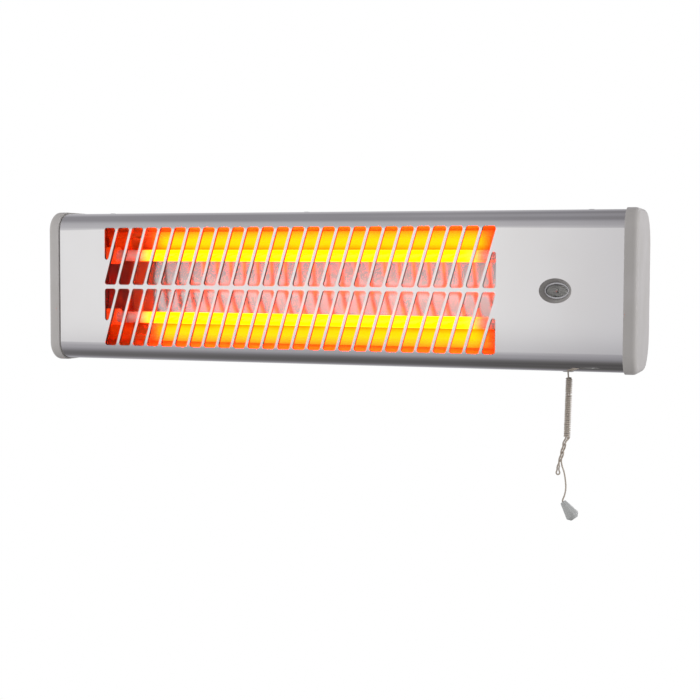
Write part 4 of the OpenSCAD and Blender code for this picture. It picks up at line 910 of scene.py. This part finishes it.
def cross_head_screw(length):
    """A pan-head screw along Z. Its head stands on Z = 0."""
    body_bm, cut_bm = bmesh.new(), bmesh.new()
    threads = []
    for k in range(int(length / THREAD_PITCH)):
        threads += [(r, z - THREAD_PITCH * k) for r, z in THREAD]
    dome = [(2.9, 0.45)] + [(2.9 - 0.8 * (1 - math.cos(a)), 0.5 + 0.75 * math.sin(a))
                            for a in (math.pi / 2 * k / 6 for k in range(1, 7))]
    turned(body_bm, [(0.2, -length), (0.6, 0.7 - length)] + threads[::-1] + [(1.45, 0), (2.9, 0)] + dome
           + [(1.2, 1.3), (0.05, 1.3)])
    for quarter in (0, math.pi / 2):
        arm = bmesh.ops.create_cube(cut_bm, size=1)["verts"]
        for v in arm:
            spreading = 1 if v.co.z > 0 else 0.45
            v.co = Vector((v.co.x * 3.4 * spreading, v.co.y * 0.75, 0.55 + (v.co.z + 0.5) * 1.4)) * MM
        bmesh.ops.rotate(cut_bm, verts=arm, matrix=Matrix.Rotation(quarter, 3, "Z"))
    solid = bpy.data.objects.new("solid", finish_mesh(body_bm, "solid"))
    cutter = bpy.data.objects.new("cutter", finish_mesh(cut_bm, "cutter"))
    for o in (solid, cutter):
        scene.collection.objects.link(o)
    cut = solid.modifiers.new("cross", "BOOLEAN")
    cut.object, cut.operation, cut.solver, cut.use_self = cutter, "DIFFERENCE", "EXACT", True
    mesh = bpy.data.meshes.new_from_object(solid.evaluated_get(bpy.context.evaluated_depsgraph_get()))
    for o in (solid, cutter):
        bpy.data.objects.remove(o)
    return mesh


# %% All screws
def put_screws(name, node, places, length):
    """Copies of the screw at each place, given as a point under the head and the way the head faces."""
    bm = bmesh.new()
    pattern = cross_head_screw(length)
    for k, (point, facing) in enumerate(places):
        turn = Vector(facing).to_track_quat("Z", "X").to_matrix().to_4x4() @ Matrix.Rotation(0.7 * k, 4, "Z")
        part = bmesh.new()
        part.from_mesh(pattern)
        part.transform(Matrix.Translation(in_metres(point)) @ turn)
        copy = bpy.data.meshes.new("copy")
        part.to_mesh(copy)
        part.free()
        bm.from_mesh(copy)
    screws = new_piece(name, finish_mesh(bm, name, 30), "head", zinc_plate)
    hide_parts(node)
    return len(places)


BACKWARD = (0, 1, 0)
reflector_middle = sum(REFLECTOR) / 2
cover_places = [((x, FRONT_Y + 41.5, s * HALF_H), (0, 0, s))
                for x in (-HALF_W + 44, reflector_middle, HALF_W - 44) for s in (-1, 1)]
cap_places = [((s * (HALF_W - 7), FRONT_Y + BODY_D + CAP_PROUD, t * 24), BACKWARD)
              for s in (-1, 1) for t in (-1, 1)]
plate_places = [((x, FRONT_Y + BODY_D - 0.8, t * 20), BACKWARD)
                for x in (REFLECTOR[0] - 7.8, REFLECTOR[1] + 7.8) for t in (-1, 1)]
print("screws:", put_screws("cover_screw_set", "cover_screws", cover_places, 4.8),
      put_screws("cap_screw_set", "cap_screws", cap_places, 6.3),
      put_screws("plate_screw_set", "plate_screws", plate_places, 4.8))

# %% [markdown]
# ## Switch window
# Behind an oval opening, a grey funnel leads down to a small lens with a bright ring round it.
# The ring and the funnel are ovals with rounded sections, so they are lofted from many points
# each. The lens is smoked clear plastic with a slight dome, and the number drum behind it shows
# through.

# %% Ovals
WINDOW_X, LENS_DEPTH, LENS_BACK = 200.8, 7.9, 9.4
LENS_W, LENS_H, RING_W, RING_H = 18, 10.2, 20.6, 14.2
OVAL_STEPS = 96


def oval(width, high, depth):
    """Points round an oval in millimetres, at a depth behind the front face."""
    return [in_metres((WINDOW_X + width / 2 * math.cos(a), FRONT_Y + depth, high / 2 * math.sin(a)))
            for a in (2 * math.pi * k / OVAL_STEPS for k in range(OVAL_STEPS))]


def closed_loft(bm, rings):
    """A loft whose last ring joins its first, as in a ring with a hole."""
    loops = loft(bm, rings, close_ends=False)
    for k in range(len(loops[0])):
        n = (k + 1) % len(loops[0])
        bm.faces.new((loops[-1][k], loops[-1][n], loops[0][n], loops[0][k]))


# %% The ring and the lens
ring_bm = bmesh.new()
ring_rings = [oval(LENS_W, LENS_H, LENS_BACK)]
for t in (k / 12 for k in range(13)):
    swell = math.sin(math.pi * t)
    ring_rings.append(oval(LENS_W + (RING_W - LENS_W) * t, LENS_H + (RING_H - LENS_H) * t,
                           LENS_DEPTH - 0.1 - 0.4 * swell ** 0.3))
ring_rings.append(oval(RING_W, RING_H, LENS_BACK))
closed_loft(ring_bm, ring_rings)
lens_trim = new_piece("lens_trim", finish_mesh(ring_bm, "lens_trim", 50), "head")
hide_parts("lens_ring")

lens_bm = bmesh.new()
lens_rings = [oval(LENS_W - 0.1, LENS_H - 0.1, LENS_BACK)]
lens_rings += [oval((LENS_W - 0.1) * r, (LENS_H - 0.1) * r, LENS_DEPTH + 0.45 * r * r)
               for r in (k / 8 for k in range(8, 0, -1))]
loft(lens_bm, lens_rings)
lens = new_piece("lens", finish_mesh(lens_bm, "lens", 50), "head")
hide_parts("window_lens")
print("lens trim:", len(lens_trim.data.polygons), "faces")

# %% [markdown]
# The lens is acrylic, tinted grey. A tint in the material itself is what dims the drum behind
# it, and fine scratches show in its gloss.

# %% Smoked acrylic
def smoked_acrylic(name):
    material, tree, shader, point = start_finish(name, "#d6d5d3", 0.05, IOR=1.49, Transmission_Weight=1)
    scratches = add_node(tree, "ShaderNodeTexNoise", {"Scale": 1 / (1.5 * MM), "Detail": 5, "Distortion": 2},
                         {"Vector": point})
    spread(tree, shader, "Roughness", scratches.outputs[0], 0.04, 0.12)
    return material


smoked_lens = smoked_acrylic("smoked_acrylic")
lens.data.materials.append(smoked_lens)
lens_trim.data.materials.append(chrome_trim)
print(smoked_lens.name)

# %% [markdown]
# The funnel is moulded in one with the plate that closes the front of the switch box, and they are
# made here as two meshes that stand for the same part. The plate has an opening for the drum.

# %% The funnel and its plate
FLANGE, MOUTH_EDGE, MOUTH, THROAT = (33.7, 27.4), (27.9, 21.6), (27.7, 21.4), (20.8, 14.4)
FUNNEL_FRONT, FUNNEL_BACK = 2.5, 9.8

funnel_bm = bmesh.new()
funnel_rings = [oval(*FLANGE, FUNNEL_BACK), oval(*FLANGE, FUNNEL_FRONT), oval(*MOUTH_EDGE, FUNNEL_FRONT)]
funnel_rings += [oval(*between(MOUTH, THROAT, t), FUNNEL_FRONT + 0.1 + 4.8 * t ** 1.15)
                 for t in (k / 10 for k in range(11))]
funnel_rings.append(oval(*THROAT, FUNNEL_BACK))
closed_loft(funnel_bm, funnel_rings)
funnel = new_piece("window_funnel", finish_mesh(funnel_bm, "window_funnel", 40), "head",
                   grey_moulding)

BOX_X, BOX_Z, PLATE_DEPTHS, DRUM_OPENING = (187.45, 217.45), (-34, 22), (9.4, 11), (8.4, 4.6)
plate_bm = bmesh.new()
plate_frame = []
for depth in PLATE_DEPTHS:
    corners = [(BOX_X[0], BOX_Z[0]), (BOX_X[1], BOX_Z[0]), (BOX_X[1], BOX_Z[1]), (BOX_X[0], BOX_Z[1])]
    opening = [(WINDOW_X + s * DRUM_OPENING[0], t * DRUM_OPENING[1])
               for s, t in ((-1, -1), (1, -1), (1, 1), (-1, 1))]
    plate_frame.append([[plate_bm.verts.new(in_metres((x, FRONT_Y + depth, z))) for x, z in loop]
                        for loop in (corners, opening)])
for k in range(4):
    n = (k + 1) % 4
    (front_out, front_in), (back_out, back_in) = plate_frame
    for a, b in ((front_out, front_in), (back_in, back_out), (front_in, back_in), (back_out, front_out)):
        plate_bm.faces.new((a[k], a[n], b[n], b[k]))
plate = new_piece("switch_plate", finish_mesh(plate_bm, "switch_plate", 40), "head",
                  grey_moulding)
for piece in (funnel, plate):
    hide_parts("window_bezel")
print("funnel:", len(funnel.data.polygons), "faces")

# %% [markdown]
# ## Lips of the slots
# The photograph shows a narrow dark line along the left side of each slot. It is drawn here with a
# lip: the press draws the slot's edge inward, which stiffens the thin bars, and the wall that faces
# the opening is coloured dark, a painted shade along the slot's edge. Its other side is warmed, and
# stays bright.
# The frame cuts the slots straight through the sheet, and here a lip is lofted along each outline,
# from just behind the face to nearly 3 mm deep, which gives the line its width.

# %% The slots' outlines
GRILLE = (-HALF_W + 57.4, HALF_W - 115.4)
BAR_PITCH, BAR_W, BAR_SHIFT, BAR_LEAN = 14, 2.4, 0.15, math.tan(math.radians(16))
RAIL_H, SLOT_FROM_EDGE, SLOT_R, TIP_R = 3.5, 13.25, 2.25, 1.9
SLOT_H = HALF_H - SLOT_FROM_EDGE - RAIL_H / 2
ROW_Z = (RAIL_H + SLOT_H) / 2
BARS = round((GRILLE[1] - GRILLE[0]) / BAR_PITCH)
LIP_FRONT, LIP_BACK, LIP_ROOT, LIP_T, LIP_IN = 0.12, 2.8, 0.7, 0.5, 0.04
LIP_SECTION = [(-LIP_IN, LIP_FRONT), (-LIP_IN, LIP_BACK), (LIP_T, LIP_BACK), (LIP_T, LIP_ROOT)]


def bar_x(i, z):
    return sum(GRILLE) / 2 - BAR_SHIFT + (i - (BARS - 1) / 2) * BAR_PITCH + BAR_LEAN * z


def rounded(corners, radii, steps=6):
    """The corners of a polygon, turned into arcs. Each point comes with the way that faces outward."""
    outline = []
    for k, (corner, radius) in enumerate(zip(corners, radii)):
        here = Vector(corner)
        back = (Vector(corners[k - 1]) - here).normalized()
        on = (Vector(corners[(k + 1) % len(corners)]) - here).normalized()
        half = back.angle(on) / 2
        centre = here + (back + on).normalized() * radius / math.sin(half)
        start, end = Vector((back.y, -back.x)), Vector((-on.y, on.x))
        start, end = (-v if v.dot(here - centre) < 0 else v for v in (start, end))
        for t in (j / steps for j in range(steps + 1)):
            out = start.slerp(end, t)
            outline.append((centre + out * radius, out))
    return outline


def slot_outlines():
    """Every slot of a row, with Z measured from the row's middle. The first and last are clipped."""
    half = SLOT_H / 2
    left, right = bar_x(0, 0) - BAR_W / 2, bar_x(BARS - 1, 0) + BAR_W / 2
    low_tip, high_tip = max(-half, (GRILLE[0] - left) / BAR_LEAN), min(half, (GRILLE[1] - right) / BAR_LEAN)
    slots = [rounded([(GRILLE[0], low_tip), (left + BAR_LEAN * half, half), (GRILLE[0], half)],
                     [TIP_R, SLOT_R, SLOT_R])]
    for i in range(1, BARS):
        slots.append(rounded([(bar_x(i - 1, -half) + BAR_W / 2, -half), (bar_x(i, -half) - BAR_W / 2, -half),
                              (bar_x(i, half) - BAR_W / 2, half), (bar_x(i - 1, half) + BAR_W / 2, half)],
                             [SLOT_R] * 4))
    slots.append(rounded([(right - BAR_LEAN * half, -half), (GRILLE[1], -half), (GRILLE[1], high_tip)],
                         [SLOT_R, SLOT_R, TIP_R]))
    return slots


# %% The lips
lips_bm = bmesh.new()
for row in (-ROW_Z, ROW_Z):
    for outline in slot_outlines():
        inner_wall_end = len(lips_bm.faces) + len(outline)
        closed_loft(lips_bm, [[in_metres((p.x + out * way.x, FRONT_Y + depth, row + p.y + out * way.y))
                               for p, way in outline] for out, depth in LIP_SECTION])
        lips_bm.faces.ensure_lookup_table()
        for face in lips_bm.faces[inner_wall_end:]:
            face.material_index = 1
# Painted shade: the lip's wall that faces the opening is coloured dark to draw the shaded edge of each slot.
slot_wall_painted_shade = plated("steel_with_painted_shade", "#4b463b", "#3f3a32", 0.5, 1.5)
warm_steel = plated("heat_warmed_steel", "#ecdcd6", "#e4d0c8", 0.3, 1.5)
slot_lips = new_piece("slot_lips", finish_mesh(lips_bm, "slot_lips", 40), "head",
                      slot_wall_painted_shade)
slot_lips.data.materials.append(warm_steel)
print("slot lips:", len(slot_lips.data.polygons), "faces")

# %% [markdown]
# ## Numbers on the drum
# The drum shows how many tubes are on: 0, 1 or 2, each twice round it. The numbers are printed.
# Each is a text turned into a mesh, cut into narrow strips and bent round the drum, a hair's
# breadth above its surface.

# %% The printed numbers
DRUM_R, DRUM_DEPTH, INK = 12.8, 23, 0.03
NUMBER_SIZE, STRIP = 6.2, 0.45


def number_mesh(bm, number, turn):
    """One number, bent round the drum at an angle from the front."""
    text = bpy.data.curves.new("number", "FONT")
    text.body, text.size, text.align_x, text.align_y = number, NUMBER_SIZE, "CENTER", "CENTER"
    text.resolution_u = 6
    carrier = bpy.data.objects.new("number", text)
    scene.collection.objects.link(carrier)
    flat_mesh = bpy.data.meshes.new_from_object(carrier.evaluated_get(bpy.context.evaluated_depsgraph_get()))
    bpy.data.objects.remove(carrier)
    part = bmesh.new()
    part.from_mesh(flat_mesh)
    for k in range(-7, 8):
        bmesh.ops.bisect_plane(part, geom=part.verts[:] + part.edges[:] + part.faces[:],
                               plane_co=(0, k * STRIP, 0), plane_no=(0, 1, 0))
    r = DRUM_R + INK
    for v in part.verts:
        angle = v.co.y / DRUM_R + turn
        v.co = in_metres((WINDOW_X + 0.3 + v.co.x, FRONT_Y + DRUM_DEPTH - r * math.cos(angle),
                          r * math.sin(angle)))
    bent = bpy.data.meshes.new("bent")
    part.to_mesh(bent)
    part.free()
    bm.from_mesh(bent)


numbers_bm = bmesh.new()
for k, number in enumerate("201201"):
    number_mesh(numbers_bm, number, math.radians(60 * k))
numbers_mesh = bpy.data.meshes.new("drum_numbers")
numbers_bm.to_mesh(numbers_mesh)
numbers_bm.free()
number_ink = moulding("black_printing_ink", "#2a2a2b", "#343435", 0.5, 0.2, 0.004, 3)
numbers = new_piece("drum_numbers", numbers_mesh, "drum", number_ink)
print("numbers:", len(numbers_mesh.polygons), "faces")

# %% [markdown]
# ## Return spring and washers
# Two small hidden parts have to follow the motions. The return spring sits between the slider's
# foot and the floor of the switch box, and gets shorter as the cord is pulled. Here it is made at
# its rest length, with a mesh of its own. The fibre washers turn against the bracket's ears, and
# are drawn a few hundredths of a millimetre thinner on that side, which leaves room for the motion.

# %% The return spring
SPRING_FLOOR, SPRING_TOP, SPRING_R, SPRING_WIRE = -32.4, -18, 2.35, 0.5
SPRING_TURNS, SPRING_END_TURNS, SPRING_STEPS = 8, 1, 20
CORD_PULL, SPRING_PLAY = 8.4, 0.05


def spring_height(turn):
    """Height of the wire's middle: the first and last turns lie flat, as on a real spring."""
    low, high = (SPRING_FLOOR + SPRING_PLAY + SPRING_WIRE / 2, SPRING_TOP - SPRING_PLAY - SPRING_WIRE / 2)
    flat_rise = 1.2 * SPRING_WIRE
    if turn < SPRING_END_TURNS:
        return low + flat_rise * turn
    if turn > SPRING_TURNS - SPRING_END_TURNS:
        return high - flat_rise * (SPRING_TURNS - turn)
    share = (turn - SPRING_END_TURNS) / (SPRING_TURNS - 2 * SPRING_END_TURNS)
    return low + flat_rise + (high - low - 2 * flat_rise) * share


spring_middle = Vector((OUTLET.x, OUTLET.y, 0))
spring_route = [(spring_middle + round_centre((0, spring_height(t)), SPRING_R, 360 * t)) * MM
                for t in (k / SPRING_STEPS for k in range(SPRING_TURNS * SPRING_STEPS + 1))]
spring_mesh, spring_length = sweep_tube("return_spring", spring_route, SPRING_WIRE / 2 * MM, 8)
return_spring = new_piece("return_spring", spring_mesh, "head", zinc_plate)
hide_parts("slider_spring")
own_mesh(return_spring)
print("spring wire:", round(spring_length, 3), "m")

# %% The fibre washers
WASHER_X, WASHER_R, WASHER_HOLE, WASHER_EDGE, WASHER_PLAY = (99, 100.2), 7, 2.55, 0.15, 0.04
PIVOT_Y = -13


def washer_ring(mirrored, radius, x):
    return [in_metres((mirrored * x, PIVOT_Y + radius * math.cos(a), radius * math.sin(a)))
            for a in (2 * math.pi * k / OVAL_STEPS for k in range(OVAL_STEPS))]


washers_bm = bmesh.new()
for mirrored in (-1, 1):
    inner, outer = WASHER_X[0], WASHER_X[1] - WASHER_PLAY
    closed_loft(washers_bm, [washer_ring(mirrored, r, x) for r, x in (
        (WASHER_HOLE, inner), (WASHER_R - WASHER_EDGE, inner), (WASHER_R, inner + WASHER_EDGE),
        (WASHER_R, outer - WASHER_EDGE), (WASHER_R - WASHER_EDGE, outer), (WASHER_HOLE, outer))])
fibre_washers = new_piece("fibre_washers", finish_mesh(washers_bm, "fibre_washers", 40), "head",
                          friction_fibre)
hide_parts("friction_washers")
print("washers:", len(fibre_washers.data.polygons), "faces")

# %% [markdown]
# ## Finishes on the frame's parts
# Every part of the frame gets the finish of the real one, also the parts that a finer piece stands
# for. The table lists them by material, and the last line prints any that is left out.

# %% Give each part its finish
FINISHES = {
    polished_stainless: ["front_cover"],
    satin_steel: ["rear_housing", "switch_bracket"],
    bright_reflector: ["reflector"],
    stained_plate: ["reflector_end_left", "reflector_end_right"],
    quartz: ["quartz_tube_upper", "quartz_tube_lower"],
    ceramic: ["ceramic_holders_left", "ceramic_holders_right"],
    zinc_plate: ["lug_rivets", "lug_nuts", "tilt_stud_left", "tilt_stud_right", "drum_shaft", "holder_clips",
                 "element_terminals", "slider_spring", "bracket_screws", "block_screws", "cover_screws",
                 "cap_screws", "plate_screws"],
    bracket_paint: ["wall_bracket", "tilt_lugs"],
    friction_fibre: ["friction_washers"],
    black_moulding: ["tilt_knob_left", "tilt_knob_right", "cable_gland", "gland_locknut"],
    grey_moulding: ["left_end_cap", "right_end_cap", "pull_bush", "window_bezel"],
    switch_moulding: ["switch_box", "ratchet_wheel", "pull_slider", "terminal_block"],
    drum_white: ["indicator_drum"],
    bare_brass: ["contact_disc", "contact_blades"],
    chrome_trim: ["lens_ring"],
    smoked_lens: ["window_lens"],
    hot_wire: ["heating_coil_upper", "heating_coil_lower"],
    wire_sleeve: ["element_wires", "supply_wires"],
    cord_yarn: ["cord_inner", "cord_lead", "cord_winding", "cord_tail"],
    grip_moulding: ["pull_grip"],
}
finished = set()
for material, nodes in FINISHES.items():
    for node in nodes:
        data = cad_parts[node].data
        data.materials.clear()
        data.materials.append(material)
        finished.add(node)
print("parts without a finish:", sorted(set(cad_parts) - finished))
